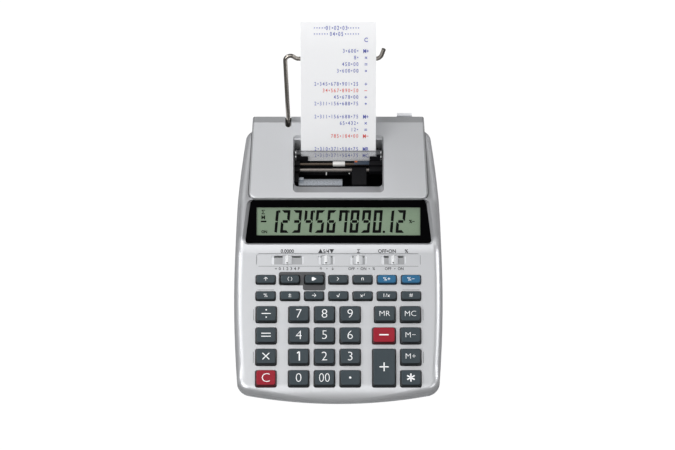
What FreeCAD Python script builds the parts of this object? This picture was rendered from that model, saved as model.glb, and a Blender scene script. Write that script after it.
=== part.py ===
import FreeCAD
import Part
import math
import os
from FreeCAD import Placement, Rotation, Vector

# Desktop printing calculator. Millimetres, X to the right, Y to the rear, Z up.
# Places are measured from the middle of the front edge at desk height.

# Body outline seen from above
body_width = 156.4
case_depth = 212.5
front_bow_radius = 345.0
side_bow_radius = 890.0
widest_place = 85.5
front_corner_radius = 11.0
rear_corner_radius = 9.0
rim_radius = 4.0
base_edge_radius = 1.2

# Body walls and heights
wall = 2.0
floor_thickness = 1.8
foot_height = 2.0
parting_height = 5.5
parting_gap = 0.3

# Keyboard deck, front lip and side rails
deck_height = 13.1
deck_angle = 7.0
lip_height = 8.0
lip_angle = 45.0
lip_radius = 16.0
valley_radius = 20.0
brow_radius = 12.0
rail_drop = 2.6
rail_angle = 1.5

# Display
display_place = 123.0
display_height = 27.6
display_angle = 26.0
display_length = 32.6
display_half_bottom = 70.2
display_half_top = 65.9
display_corner = 2.4
window_thickness = 1.8
pocket_depth = 2.2
pocket_flare = 2.4
pocket_corner = 6.0
display_seat = 1.8
# The keyboard half and the rear half of the upper case meet this far in front of the display
seam_margin = 2.5
lcd_width = 126.0
lcd_length = 24.0
lcd_thickness = 2.6
lcd_start = 4.6
fixed_gap = 0.2

# Keys
key_width = 15.5
key_depth = 13.0
key_height = 3.0
key_corner = 1.3
key_taper = 0.55
small_key_width = 14.7
small_key_depth = 7.3
small_key_height = 2.2
wide_key_width = 17.4
wide_key_place = 34.0
memory_key_width = 15.9
memory_key_place = 34.7
key_shell = 1.4
key_gap = 0.4
key_travel = 2.5
tab_reach = 0.7
tab_length = 6.0
tab_length_small = 4.0
tab_thickness = 1.2
tab_gap = 0.3
main_columns = (-53.9, -29.5, -10.35, 8.8, 53.85)
small_pitch = 18.15
first_row = 15.05
row_pitch = 16.95
function_row_low = 80.75
function_row_high = 93.9

# Slide switches
switch_row = 110.0
switch_window_depth = 7.2
switch_strip_width = 122.6
switch_strip_depth = 9.8
switch_strip_recess = 0.4
switch_trough = 1.2
switch_corner = 1.5
switch_slot_depth = 1.0
switch_slot_edge = 0.3
switch_stem_width = 3.0
knob_width = 7.0
knob_thickness = 0.6
knob_ridge_width = 1.2
knob_ridge_height = 1.1
knob_gap = 0.25
knob_foot = 1.4
switch_windows = {
    "decimal_switch": (-38.4, 24.2),
    "rounding_switch": (-9.2, 12.4),
    "total_switch": (14.8, 12.6),
    "print_switch": (41.3, 18.4),
}

# Circuit board and rubber key mat
mat_clearance = 0.3
dome_height = 0.7
dome_radius = 2.4
mat_thickness = 0.8
board_thickness = 1.6
board_half_width = 60.0
board_start = 12.5
board_end = 117.0
board_posts = ((-41.7, 22.8), (-41.7, 56.7), (21.0, 22.8), (21.0, 56.7), (-27.2, 87.35), (27.2, 87.35))
post_radius = 1.9
post_clearance = 0.4

# Printer cover
cover_place = 151.4
cover_height = 46.3
cover_angle = 3.0
cover_back = 215.3
cover_end = 222.3
cover_end_height = 47.0
cover_half_front = 67.8
cover_half_rear = 64.9
cover_corner = 5.5
cover_rear_corner = 1.5
least_corner = 0.3
cover_edge_radius = 1.2
cover_plate = 2.0
cover_skirt = 5.0
cover_front_face = 3.0
cover_wall = 1.8
cover_gap = 0.5
ledge_width = 1.6
ledge_thickness = 1.4
ledge_gap = 0.3
bay_start = 158.0
bay_wall = 1.6
bay_wall_depth = 9.0

# Window in the cover
window_half = 34.2
window_front = 156.1
window_rear = 204.6
window_inner_half = 33.3
window_inner_front = 162.4
window_inner_rear = 201.0
window_corner = 3.0
well_wall = 1.4
well_depth = 2.8
well_back_depth = 10.0
well_back_lean = 4.0

# Cover hinge at the rear wall
hinge_place = 211.4
hinge_height = 43.2
hinge_pin_radius = 1.2
hinge_running = 0.06
hinge_ear_inner = 51.0
hinge_ear_width = 2.5
hinge_ear_radius = 2.6
hinge_lug_gap = 0.4
hinge_lug_width = 2.2
hinge_lug_radius = 2.9
rear_wall_top = 40.0

# Print mechanism
frame_half = 37.0
frame_plate = 1.6
frame_front = 161.0
frame_rear = 200.0
frame_bottom = 8.0
frame_top = 44.4
frame_post_radius = 3.0
frame_posts = ((-30.0, 166.0), (30.0, 166.0), (-30.0, 195.0), (30.0, 195.0))
guide_rod = (179.2, 40.0)
guide_rod_radius = 1.5
cam_rod = (183.0, 42.3)
cam_rod_radius = 1.0
rod_fit = 0.03
rod_block_left = -29.0
rod_block_right = 23.2
rod_block_wall = 0.8
bar_front = 169.2
bar_rear = 174.8
bar_height = 34.0
bar_sheet = 1.2
bar_end = 3.0
bar_leg = 2.0
bar_shield_end = -30.1
bar_shield_gap = 0.3
stop_left = -29.8
stop_width = 3.5
stop_height = 2.5
carriage_place = 15.7
carriage_width = 11.0
carriage_front = 165.0
carriage_rear = 181.4
carriage_low = 36.4
carriage_top = 42.0
carriage_running = 0.06
type_front = 176.0
type_rear = 178.6
type_low = 27.0
type_margin = 1.0
motor_radius = 9.0
motor_length = 26.0
motor_place = (-33.0, 171.0, 18.5)
gear_width = 2.0
gear_clear = 0.5
motor_pinion_radius = 4.0

# Paper, feed roller and tear bar
paper_width = 56.5
paper_thickness = 0.2
paper_gap = 0.3
paper_lean = 28.0
paper_exit = (190.9, 50.0)
strip_length = 86.5
curl_radius = 75.0
curl_angle = 18.0
roller_height = 31.0
roller_radius = 6.0
roller_half = 29.0
roller_shaft_radius = 1.5
roller_gear_radius = 6.5
shaft_running = 0.06
web_turn_place = 223.0
web_turn_radius = 9.0
tear_half = 32.6
tear_length = 8.2
tear_thickness = 1.2
tear_stand = 0.6
tear_arm_width = 3.3
tear_arm_depth = 3.0
tear_arm_start = 12.0
tear_foot = 4.0
guide_plate_stand = 1.2
guide_plate_start = 13.0
guide_plate_end = 8.2
guide_plate_thickness = 1.2
front_guide_start = 21.6
front_guide_end = 9.2
front_guide_thickness = 0.8
inlet_height = 6.5
inlet_margin = 2.0

# Paper roll and wire arm
roll_radius = 20.0
roll_bore = 6.0
wire_radius = 1.6
wire_bend = 5.0
arm_pivot = (206.5, 28.0)
arm_lean = 30.0
arm_leg_x = -37.0
arm_slot_x = -38.0
arm_notch_x = -37.4
arm_stub_end = -54.0
arm_leg_top = 83.5
arm_bar = 76.5
arm_bend_x = -40.4
arm_dip_x = -31.5
arm_hook_x = 31.5
arm_hook_end = 34.2
arm_hook_length = 8.2
arm_running = 0.06
arm_slot_gap = 0.65
arm_slot_front = 211.2
arm_slot_low = 25.5
arm_lug_width = 3.0
arm_lug_places = (-44.0, -50.0)
arm_lug_radius = 3.6

# Wire rest at the rear wall
rest_left = 44.6
rest_width = 11.4
rest_bar = 2.2
rest_place = 223.6
rest_thickness = 2.2
rest_low = 30.0
rest_top = 46.0

# Battery bay
cell_radius = 7.2
cell_length = 50.0
cell_pin_radius = 2.6
cell_pin_length = 1.0
cell_gap = 0.4
bay_middle = 141.0
bay_box_wall = 1.4
battery_floor = 6.6
bay_box_top = 23.0
hatch_thickness = 2.0
hatch_margin = 6.0
hatch_gap = 0.25
hatch_tongue = 1.4
hatch_tongue_low = 1.0
hatch_travel = 8.0
hatch_lip = 1.0

# Feet and case screws
foot_radius = 6.0
foot_places = ((-60.0, 20.0), (60.0, 20.0), (-58.0, 196.0), (58.0, 196.0))
screw_rows = ((50.0, 14.0), (140.0, 20.0), (204.5, 20.0))
boss_radius = 3.9
boss_sink = 1.2
screw_head_radius = 2.7
screw_head_height = 1.6
screw_head_depth = 1.0
screw_radius = 1.3
screw_length = 11.0
screw_gap = 0.2

# Values worked out from the ones above
reach = 400.0
half_body = body_width / 2
deck_slope = math.radians(deck_angle)
display_slope = math.radians(display_angle)
cover_slope = math.radians(cover_angle)
rail_slope = math.radians(rail_angle)
lean = math.radians(paper_lean)
arm_slope = math.radians(arm_lean)
floor_top = foot_height + floor_thickness
tab_top = wall + tab_gap
tab_bottom = tab_top + tab_thickness
mat_top = tab_bottom + key_travel + mat_clearance
board_top = mat_top + dome_height + mat_thickness
wrap_radius = roller_radius + paper_gap + paper_thickness / 2
roll_wrap = roll_radius + paper_gap + paper_thickness / 2
arm_bar_place = arm_pivot[0] + arm_bar * math.sin(arm_slope)
arm_bar_height = arm_pivot[1] + arm_bar * math.cos(arm_slope)
roll_place = arm_bar_place
roll_height = arm_bar_height - (roll_bore - wire_radius - paper_gap)
roller_place = (paper_exit[0] + wrap_radius * math.cos(lean)
                - (paper_exit[1] - roller_height - wrap_radius * math.sin(lean)) * math.tan(lean))
overall_depth = roll_place + roll_wrap + paper_thickness / 2
switch_slot_row = switch_row + (switch_window_depth - switch_slot_depth) / 2 - switch_slot_edge
hatch_half_width = cell_length + cell_pin_length + hatch_margin
hatch_half_depth = 2 * cell_radius + hatch_margin

# Keys of the two function rows, left to right
function_keys_high = ("key_feed", "key_mode", "key_start", "key_grand_total", "key_item_count",
                      "key_tax_plus", "key_tax_minus")
function_keys_low = ("key_percent_change", "key_sign_root", "key_backspace", "key_cost", "key_sell",
                     "key_margin", "key_number")

# Keys of the main block by column, from the front row to the rear row
main_keys = (
    ("key_clear", "key_multiply", "key_equals", "key_divide"),
    ("key_0", "key_1", "key_4", "key_7"),
    ("key_00", "key_2", "key_5", "key_8"),
    ("key_point", "key_3", "key_6", "key_9"),
    ("key_total", "key_memory_plus", "key_memory_minus", "key_memory_subtotal"),
)


# Helpers for outlines and solids

def corner_arc(before, corner, after, radius):
    """Start, middle and end of the arc that rounds one corner of an outline."""
    back = (before - corner).normalize()
    onward = (after - corner).normalize()
    half = back.getAngle(onward) / 2
    inward = (back + onward).normalize()
    tangent = radius / math.tan(half)
    centre = corner + inward * (radius / math.sin(half))
    return corner + back * tangent, centre - inward * radius, corner + onward * tangent


def rounded_wire(points, radii, closed=True):
    """A wire of straight runs joined by tangent arcs."""
    count = len(points)
    corners = []
    for index, corner in enumerate(points):
        at_end = not closed and index in (0, count - 1)
        if radii[index] == 0 or at_end:
            corners.append((corner, None, corner))
        else:
            following = points[(index + 1) % count]
            corners.append(corner_arc(points[index - 1], corner, following, radii[index]))
    edges = []
    for index, (start, middle, end) in enumerate(corners):
        if middle is not None:
            edges.append(Part.Arc(start, middle, end).toShape())
        if closed or index < count - 1:
            target = corners[(index + 1) % count][0]
            if (target - end).Length > 1e-6:
                edges.append(Part.LineSegment(end, target).toShape())
    return Part.Wire(edges)


def across(outline, radii, left, right):
    """A solid from an outline in Y and Z, drawn out along X."""
    points = [Vector(left, y, z) for y, z in outline]
    return Part.Face(rounded_wire(points, radii)).extrude(Vector(right - left, 0, 0))


def upright(outline, radii, low, high):
    """A solid from an outline in X and Y, drawn out along Z."""
    points = [Vector(x, y, low) for x, y in outline]
    return Part.Face(rounded_wire(points, radii)).extrude(Vector(0, 0, high - low))


def block(left, right, front, rear, low, high):
    return Part.makeBox(right - left, rear - front, high - low, Vector(left, front, low))


def rod_along_x(radius, left, right, place, height):
    return Part.makeCylinder(radius, right - left, Vector(left, place, height), Vector(1, 0, 0))


def rod_upright(radius, x, y, low, high):
    return Part.makeCylinder(radius, high - low, Vector(x, y, low), Vector(0, 0, 1))


def rectangle(x, y, width, depth):
    left, right = x - width / 2, x + width / 2
    front, rear = y - depth / 2, y + depth / 2
    return [(left, front), (right, front), (right, rear), (left, rear)]


def plate(x, y, width, depth, corner, low, high):
    return upright(rectangle(x, y, width, depth), [corner] * 4, low, high)


def skin(outline_low, low, corner_low, outline_high, high, corner_high):
    """A solid with straight sides between two outlines at two heights."""
    wires = []
    for outline, height, corner in ((outline_low, low, corner_low), (outline_high, high, corner_high)):
        points = [Vector(x, y, height) for x, y in outline]
        wires.append(rounded_wire(points, [corner] * len(points)))
    return Part.makeLoft(wires, True, True)


def fuse_all(shapes):
    return shapes[0].multiFuse(shapes[1:]).removeSplitter()


def placed(shape, place):
    moved = shape.copy()
    moved.Placement = place.multiply(moved.Placement)
    return moved


# Local frames: deck, display and paper strip

def deck_frame():
    return Placement(Vector(0, 0, deck_height), Rotation(Vector(1, 0, 0), deck_angle))


def display_frame():
    return Placement(Vector(0, display_place, display_height), Rotation(Vector(1, 0, 0), display_angle))


def strip_frame():
    origin = Vector(0, paper_exit[0], paper_exit[1])
    return Placement(origin, Rotation(Vector(1, 0, 0), 90 - paper_lean))


# Body outline and side profile

def circles_meet(first, first_radius, second, second_radius):
    """The crossing of two circles that lies nearer to the front."""
    gap = second - first
    along = (first_radius ** 2 - second_radius ** 2 + gap.Length ** 2) / (2 * gap.Length)
    aside = math.sqrt(first_radius ** 2 - along ** 2)
    unit = Vector(gap).normalize()
    foot = first + unit * along
    side = Vector(unit.y, -unit.x, 0) * aside
    return min((foot + side, foot - side), key=lambda point: point.y)


def body_prism(inset, low, high):
    """The body outline, moved inwards by inset, as an upright solid."""
    front_centre = Vector(0, front_bow_radius, 0)
    side_centre = Vector(half_body - side_bow_radius, widest_place, 0)
    side_radius = side_bow_radius - inset
    front_right = circles_meet(front_centre, front_bow_radius - inset, side_centre, side_radius)
    rear = case_depth - inset
    rear_half = side_centre.x + math.sqrt(side_radius ** 2 - (rear - widest_place) ** 2)
    rear_right = Vector(rear_half, rear, 0)
    front_left = Vector(-front_right.x, front_right.y, 0)
    rear_left = Vector(-rear_half, rear, 0)
    widest = half_body - inset
    edges = [
        Part.Arc(front_left, Vector(0, inset, 0), front_right).toShape(),
        Part.Arc(front_right, Vector(widest, widest_place, 0), rear_right).toShape(),
        Part.LineSegment(rear_right, rear_left).toShape(),
        Part.Arc(rear_left, Vector(-widest, widest_place, 0), front_left).toShape(),
    ]
    solid = Part.Face(Part.Wire(edges)).extrude(Vector(0, 0, high - low))
    corners = [edge for edge in solid.Edges if edge.BoundBox.ZLength > (high - low) / 2]
    front = [edge for edge in corners if edge.BoundBox.YMax < widest_place]
    solid = solid.makeFillet(front_corner_radius - inset, front)
    back = [edge for edge in solid.Edges if is_sharp_rear_corner(edge, rear, high - low)]
    solid = solid.makeFillet(rear_corner_radius - inset, back)
    solid.translate(Vector(0, 0, low))
    return solid


def side_half(y):
    """Half the body's width at a place along it."""
    return half_body - side_bow_radius + math.sqrt(side_bow_radius ** 2 - (y - widest_place) ** 2)


def screw_places():
    """Place and height of every screw boss, along the inside of both side walls."""
    places = []
    for y, top in screw_rows:
        x = side_half(y) - wall - boss_radius + boss_sink
        places += [(-x, y, top), (x, y, top)]
    return places


def is_sharp_rear_corner(edge, rear, height):
    box = edge.BoundBox
    return box.ZLength > height / 2 and box.YMin > rear - 0.01 and box.YLength < 0.01


def lowered(line, drop):
    """A line of the side profile, moved inwards by drop."""
    y, z, angle = line
    return y + drop * math.sin(angle), z - drop * math.cos(angle), angle


def crossing(first, second):
    """Where two lines of the side profile meet."""
    y1, z1, a1 = first
    y2, z2, a2 = second
    turn = math.sin(a2 - a1)
    along = ((y2 - y1) * math.sin(a2) - (z2 - z1) * math.cos(a2)) / turn
    return y1 + along * math.cos(a1), z1 + along * math.sin(a1)


def profile_solid(drop, display_drop):
    """Everything under the top surface of the body, as one wide solid."""
    lip = lowered((0, lip_height, math.radians(lip_angle)), drop)
    deck = lowered((0, deck_height, deck_slope), drop)
    face = lowered((display_place, display_height, display_slope), display_drop - pocket_depth)
    rail = lowered((cover_place, cover_height - rail_drop, rail_slope), drop)
    far = reach
    front_end = (lip[0] - far * math.cos(lip[2]), lip[1] - far * math.sin(lip[2]))
    rear_end = (rail[0] + far * math.cos(rail[2]), rail[1] + far * math.sin(rail[2]))
    outline = [front_end, crossing(lip, deck), crossing(deck, face), crossing(face, rail), rear_end,
               (rear_end[0], -far), (front_end[0], -far)]
    radii = [0, lip_radius - drop, valley_radius + drop, brow_radius - drop, 0, 0, 0]
    return across(outline, radii, -reach, reach)


def rim_edges(solid):
    """Edges between an upright wall and the top surface."""
    found = []
    for edge in solid.Edges:
        middle = edge.valueAt((edge.FirstParameter + edge.LastParameter) / 2)
        tilts = []
        for face in solid.ancestorsOfType(edge, Part.Face):
            u, v = face.Surface.parameter(middle)
            tilts.append(face.normalAt(u, v).z)
        if len(tilts) == 2 and min(abs(tilt) for tilt in tilts) < 0.02 and max(tilts) > 0.3:
            found.append(edge)
    return found


def outer_body():
    solid = body_prism(0, parting_height, reach).common(profile_solid(0, 0))
    return solid.makeFillet(rim_radius, rim_edges(solid))


def inner_body():
    low = parting_height - wall
    display_drop = pocket_depth + window_thickness + display_seat
    solid = body_prism(wall, low, reach).common(profile_solid(wall, display_drop))
    return solid.makeFillet(rim_radius - wall, rim_edges(solid))


# Display pocket, window and panel

def display_outline(margin, flare):
    bottom = -margin
    top = display_length + margin
    half_bottom = display_half_bottom + margin + flare
    half_top = display_half_top + margin + flare
    return [(-half_bottom, bottom), (half_bottom, bottom), (half_top, top), (-half_top, top)]


def display_pocket():
    seat = upright(display_outline(fixed_gap, 0), [display_corner] * 4, -window_thickness, reach / 40)
    flared = [(x, y) for x, y in display_outline(fixed_gap, pocket_flare)]
    wide = [(x * (1 + pocket_flare / display_half_bottom), y) for x, y in flared]
    wide[0] = (wide[0][0], wide[0][1] - pocket_depth)
    wide[1] = (wide[1][0], wide[1][1] - pocket_depth)
    funnel = skin(display_outline(fixed_gap, 0), 0, pocket_corner / 2, wide, 2 * pocket_depth, pocket_corner)
    return placed(seat.fuse(funnel), display_frame())


def lcd_opening():
    middle = lcd_start + lcd_length / 2
    hole = plate(0, middle, lcd_width + 2 * fixed_gap, lcd_length + 2 * fixed_gap, 0.5, -reach / 20, 0)
    return placed(hole, display_frame())


def display_window():
    pane = upright(display_outline(0, 0), [display_corner] * 4, -window_thickness, 0)
    return placed(pane, display_frame())


def lcd_panel():
    middle = lcd_start + lcd_length / 2
    low = -window_thickness - lcd_thickness
    panel = plate(0, middle, lcd_width, lcd_length, 0.5, low, -window_thickness)
    return placed(panel, display_frame())


# Keys

def key_list():
    """Name, place, size, height and tab length of every key, in the deck's own frame."""
    keys = []
    for row, names in ((function_row_high, function_keys_high), (function_row_low, function_keys_low)):
        for index, name in enumerate(names):
            x = (index - (len(names) - 1) / 2) * small_pitch
            keys.append((name, x, row, small_key_width, small_key_depth, small_key_height, tab_length_small))
    for x, names in zip(main_columns, main_keys):
        for index, name in enumerate(names):
            row = first_row + index * row_pitch
            keys.append((name, x, row, key_width, key_depth, key_height, tab_length))
    tall = key_depth + row_pitch
    keys.append(("key_plus", wide_key_place, first_row + row_pitch / 2, wide_key_width, tall,
                 key_height, tab_length))
    keys.append(("key_minus", wide_key_place, first_row + 2 * row_pitch, wide_key_width, key_depth,
                 key_height, tab_length))
    keys.append(("key_memory_total", memory_key_place, first_row + 3 * row_pitch, memory_key_width,
                 key_depth, key_height, tab_length))
    return keys


def key_cap(x, y, width, depth, height, tab):
    """A hollow cap with a tapered top, a plunger and a retaining tab on each side."""
    base = rectangle(x, y, width, depth)
    top = rectangle(x, y, width - 2 * key_taper, depth - 2 * key_taper)
    shoulder = height / 4
    lower = upright(base, [key_corner] * 4, -tab_bottom, shoulder)
    upper = skin(base, shoulder, key_corner, top, height, key_corner - key_taper)
    hollow = plate(x, y, width - 2 * key_shell, depth - 2 * key_shell, key_corner / 2, -tab_bottom,
                   height - key_shell)
    plunger = rod_upright(dome_radius - 0.6, x, y, -tab_bottom, height - key_shell)
    tab_width = width + 2 * (key_gap + tab_reach)
    tabs = plate(x, y, tab_width, tab, 0, -tab_bottom, -tab_top)
    slot = plate(x, y, width - 2 * key_shell, depth - 2 * key_shell, key_corner / 2, -tab_bottom, -tab_top)
    shape = lower.fuse(upper).cut(hollow)
    return fuse_all([shape, tabs.cut(slot), plunger])


def key_hole(x, y, width, depth):
    opening = plate(x, y, width + 2 * key_gap, depth + 2 * key_gap, key_corner + key_gap, -mat_top, rim_radius)
    return placed(opening, deck_frame())


# Slide switches

def switch_cuts():
    """A shallow strip in the deck, and in it a trough with a slot for each switch."""
    strip = plate(0, switch_row, switch_strip_width, switch_strip_depth, switch_corner, -switch_strip_recess,
                  rim_radius)
    cuts = [placed(strip, deck_frame())]
    for x, width in switch_windows.values():
        trough = plate(x, switch_row, width, switch_window_depth, switch_corner, -switch_trough, rim_radius)
        slot_width = width - knob_width + switch_stem_width
        slot = plate(x, switch_slot_row, slot_width, switch_slot_depth, 0, -wall - rim_radius, 0)
        cuts.append(placed(trough.fuse(slot), deck_frame()))
    return cuts


def switch_knob(x, width):
    """A flat slider with a ridge across it, a stem through the deck and a foot below."""
    depth = switch_window_depth - 2 * knob_gap
    low = -switch_trough + knob_gap
    slider = plate(x, switch_row, knob_width, depth, switch_corner / 2, low, low + knob_thickness)
    ridge = plate(x, switch_row, knob_ridge_width, depth, 0, low, low + knob_thickness + knob_ridge_height)
    stem_depth = switch_slot_depth - 2 * knob_gap
    foot_low = -wall - knob_gap - knob_foot
    stem = plate(x, switch_slot_row, switch_stem_width - 2 * knob_gap, stem_depth, 0, foot_low, low)
    foot = plate(x, switch_slot_row, knob_width / 2, switch_window_depth / 2, 0, foot_low, -wall - knob_gap)
    return placed(fuse_all([slider, ridge, stem, foot]), deck_frame())


def switch_range(width):
    """How far a knob slides to each side of the middle of its window."""
    return (width - knob_width) / 2 - knob_gap


# Circuit board and key mat

def deck_layer(half_width, start, end, low, high):
    outline = [(-half_width, start), (half_width, start), (half_width, end), (-half_width, end)]
    return upright(outline, [3.0] * 4, low, high)


def main_board():
    board = deck_layer(board_half_width, board_start, board_end, -board_top - board_thickness, -board_top)
    return placed(board, deck_frame())


def key_mat():
    """A rubber sheet on the board with a low dome under every key."""
    sheet = deck_layer(board_half_width - 1, board_start + 0.5, function_row_high + small_key_depth,
                       -board_top, -mat_top - dome_height)
    holes = [rod_upright(post_radius + post_clearance, x, y, -board_top, -mat_top) for x, y in board_posts]
    domes = []
    for _, x, y, _, _, _, _ in key_list():
        base = Vector(x, y, -mat_top - dome_height)
        domes.append(Part.makeCone(dome_radius, dome_radius * 0.7, dome_height, base, Vector(0, 0, 1)))
    mat = fuse_all([sheet] + domes)
    for hole in holes:
        mat = mat.cut(hole)
    return placed(mat, deck_frame())


def board_bosses():
    bosses = [rod_upright(post_radius, x, y, -board_top, -wall / 2) for x, y in board_posts]
    return [placed(boss, deck_frame()) for boss in bosses]


# Printer cover

def cover_top(y):
    return cover_height + (y - cover_place) * math.tan(cover_slope)


def cover_outline(margin):
    """The cover seen from above, widened by margin."""
    slope = (cover_half_front - cover_half_rear) / (cover_end - cover_place)
    front, rear = cover_place - margin, cover_end + margin
    half_front = cover_half_front + margin * (1 + slope)
    half_rear = cover_half_rear + margin * (1 - slope)
    return [(-half_front, front), (half_front, front), (half_rear, rear), (-half_rear, rear)]


def cover_prism(margin, low, high):
    front = cover_corner + margin
    rear = max(cover_rear_corner + margin, least_corner)
    return upright(cover_outline(margin), [front, front, rear, rear], low, high)


def cover_block(top_drop, bottom_drop, margin):
    """The space between two surfaces under the cover's top, inside its outline."""
    front = cover_place - reach / 4
    top_front = (front, cover_top(front) - top_drop)
    top_rear = (cover_back, cover_top(cover_back) - top_drop)
    bottom_front = (front, cover_top(front) - bottom_drop)
    bevel_angle = math.atan2(cover_end_height - cover_top(cover_back), cover_end - cover_back)
    bottom_rear = crossing(top_rear + (bevel_angle,), bottom_front + (cover_slope,))
    slab = across([bottom_front, top_front, top_rear, bottom_rear], [0] * 4, -reach, reach)
    return slab.common(cover_prism(margin, 0, reach))


def window_cut():
    """The sloped opening in the cover, through to the print mechanism."""
    wide = [(-window_half, window_front), (window_half, window_front), (window_half, window_rear),
            (-window_half, window_rear)]
    narrow = [(-window_inner_half, window_inner_front), (window_inner_half, window_inner_front),
              (window_inner_half, window_inner_rear), (-window_inner_half, window_inner_rear)]
    drop = well_depth
    funnel = skin(narrow, -drop, window_corner, wide, 0, window_corner)
    above = upright(wide, [window_corner] * 4, 0, drop)
    below = upright(narrow, [window_corner] * 4, -reach / 10, -drop)
    cut = fuse_all([funnel, above, below])
    cut.rotate(Vector(0, cover_place, 0), Vector(1, 0, 0), cover_angle)
    cut.translate(Vector(0, 0, cover_height))
    return cut


def window_frame():
    """The rim that stiffens the cover round its window."""
    margin = well_wall
    outer = [(-window_half - margin, window_front - margin), (window_half + margin, window_front - margin),
             (window_half + margin, window_rear + margin), (-window_half - margin, window_rear + margin)]
    prism = upright(outer, [window_corner + margin] * 4, 0, reach)
    return prism.common(cover_block(0, well_depth, 0))


def window_back():
    """The leaning wall behind the paper."""
    top = cover_top(window_rear) - cover_plate / 2
    low = top - well_back_depth
    outline = [(window_inner_rear, top), (window_inner_rear + well_wall, top),
               (window_inner_rear + well_wall - well_back_lean, low), (window_inner_rear - well_back_lean, low)]
    return across(outline, [0] * 4, -window_inner_half, window_inner_half)


def hinge_ears():
    ears = []
    for side in (-1, 1):
        inner, outer = side * hinge_ear_inner, side * (hinge_ear_inner + hinge_ear_width)
        left, right = min(inner, outer), max(inner, outer)
        top = cover_top(hinge_place) - cover_plate / 2
        web = block(left, right, hinge_place - hinge_ear_radius, hinge_place + hinge_ear_radius, hinge_height, top)
        eye = rod_along_x(hinge_ear_radius, left, right, hinge_place, hinge_height)
        tip = outer + side * (hinge_lug_gap + hinge_lug_width)
        pin = rod_along_x(hinge_pin_radius, min(outer, tip), max(outer, tip), hinge_place, hinge_height)
        ears.append(fuse_all([web, eye, pin]))
    return ears


def arm_slot():
    """The slot in the cover's rear edge that the wire arm stands in."""
    half = wire_radius + arm_slot_gap
    front = arm_slot_front + half
    bore = rod_upright(half, arm_slot_x, front, 0, reach)
    return bore.fuse(block(arm_slot_x - half, arm_slot_x + half, front, reach, 0, reach))


def printer_cover():
    solid = cover_block(0, cover_skirt, 0)
    shell = solid.makeFillet(cover_edge_radius, rim_edges(solid))
    shell = shell.cut(cover_block(cover_plate, 2 * cover_skirt, -cover_wall))
    front_low = cover_height - cover_front_face
    shell = shell.cut(block(-reach, reach, 0, bay_start + cover_gap, 0, front_low))
    shell = fuse_all([shell, window_frame()]).cut(window_cut())
    shell = fuse_all([shell, window_back()] + hinge_ears())
    return shell.cut(arm_slot())


# Upper case

def cover_bay():
    """The opening under the printer cover and the low rear wall behind it."""
    opening = cover_prism(cover_gap, -reach, reach)
    opening = opening.common(block(-reach, reach, bay_start, case_depth - wall, hinge_height - bay_wall_depth, reach))
    seat = cover_block(-reach, cover_skirt + ledge_gap, cover_gap)
    seat = seat.common(block(-reach, reach, bay_start, reach, 0, reach))
    front_low = cover_height - cover_front_face - ledge_gap
    front = cover_prism(cover_gap, front_low, reach).common(block(-reach, reach, 0, bay_start, 0, reach))
    rear = block(-cover_half_rear, cover_half_rear, case_depth - 2 * wall, reach, rear_wall_top, reach)
    return [opening, seat, front, rear]


def bay_walls():
    """Walls and a ledge along both sides of the printer bay."""
    low, high = hinge_height - bay_wall_depth, cover_top(case_depth) - rail_drop
    ring = cover_prism(cover_gap + bay_wall, low, high).cut(cover_prism(cover_gap, low, high))
    span = block(-reach, reach, bay_start, case_depth - wall, low, high)
    walls = ring.common(span).common(outer_body())
    top, bottom = cover_skirt + ledge_gap, cover_skirt + ledge_gap + ledge_thickness
    ledge = cover_block(top, bottom, cover_gap).cut(cover_prism(-ledge_width, low, high)).common(span)
    return [walls, ledge]


def hinge_lugs():
    """Upright lugs on the rear wall with a bore for the cover's pins."""
    lugs = []
    for side in (-1, 1):
        start = side * (hinge_ear_inner + hinge_ear_width + hinge_lug_gap)
        left, right = sorted((start, start + side * hinge_lug_width))
        eye = rod_along_x(hinge_lug_radius, left, right, hinge_place, hinge_height)
        front = hinge_place - hinge_lug_radius
        web = block(left, right, front, case_depth - wall / 2, rear_wall_top - bay_wall_depth, hinge_height)
        bore = rod_along_x(hinge_pin_radius + hinge_running, left, right, hinge_place, hinge_height)
        lugs.append(fuse_all([eye, web]).cut(bore))
    return lugs


def arm_lugs():
    """Bearing plates inside the rear wall for the foot of the wire arm."""
    place, height = arm_pivot
    lugs = []
    for x in arm_lug_places:
        left, right = x - arm_lug_width / 2, x + arm_lug_width / 2
        eye = rod_along_x(arm_lug_radius, left, right, place, height)
        web = block(left, right, place, case_depth - wall / 2, height - arm_lug_radius, height + arm_lug_radius)
        bore = rod_along_x(wire_radius + arm_running, left, right, place, height)
        lugs.append(fuse_all([eye, web]).cut(bore))
    return lugs


def arm_notch():
    half = wire_radius + arm_slot_gap
    return block(arm_notch_x - half, arm_notch_x + half, case_depth - 2 * wall, reach, arm_slot_low, reach)


def paper_inlet():
    half = paper_width / 2 + inlet_margin
    middle = roller_height - wrap_radius
    return block(-half, half, case_depth - 2 * wall, reach, middle - inlet_height / 2, middle + inlet_height / 2)


def wire_rest():
    """The bracket behind the rear wall that the folded arm is clipped to."""
    right = rest_left + rest_width
    foot_top = rest_low + rest_thickness
    outer = block(rest_left, right, rest_place, rest_place + rest_thickness, rest_low, rest_top)
    hole = block(rest_left + rest_bar, right - rest_bar, rest_place, rest_place + rest_thickness,
                 foot_top, rest_top - rest_bar)
    foot = block(rest_left, right, case_depth - wall / 2, rest_place + rest_thickness, rest_low, foot_top)
    return fuse_all([outer.cut(hole), foot])


def upper_bosses():
    return [rod_upright(boss_radius, x, y, parting_height, top) for x, y, top in screw_places()]


def halves(shell):
    """The shell as a keyboard half and a rear half that meet face to face in front of the display."""
    keyboard = block(-reach, reach, -reach, display_place - seam_margin, -reach, reach)
    return Part.makeCompound([shell.common(keyboard), shell.cut(keyboard)])


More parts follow.
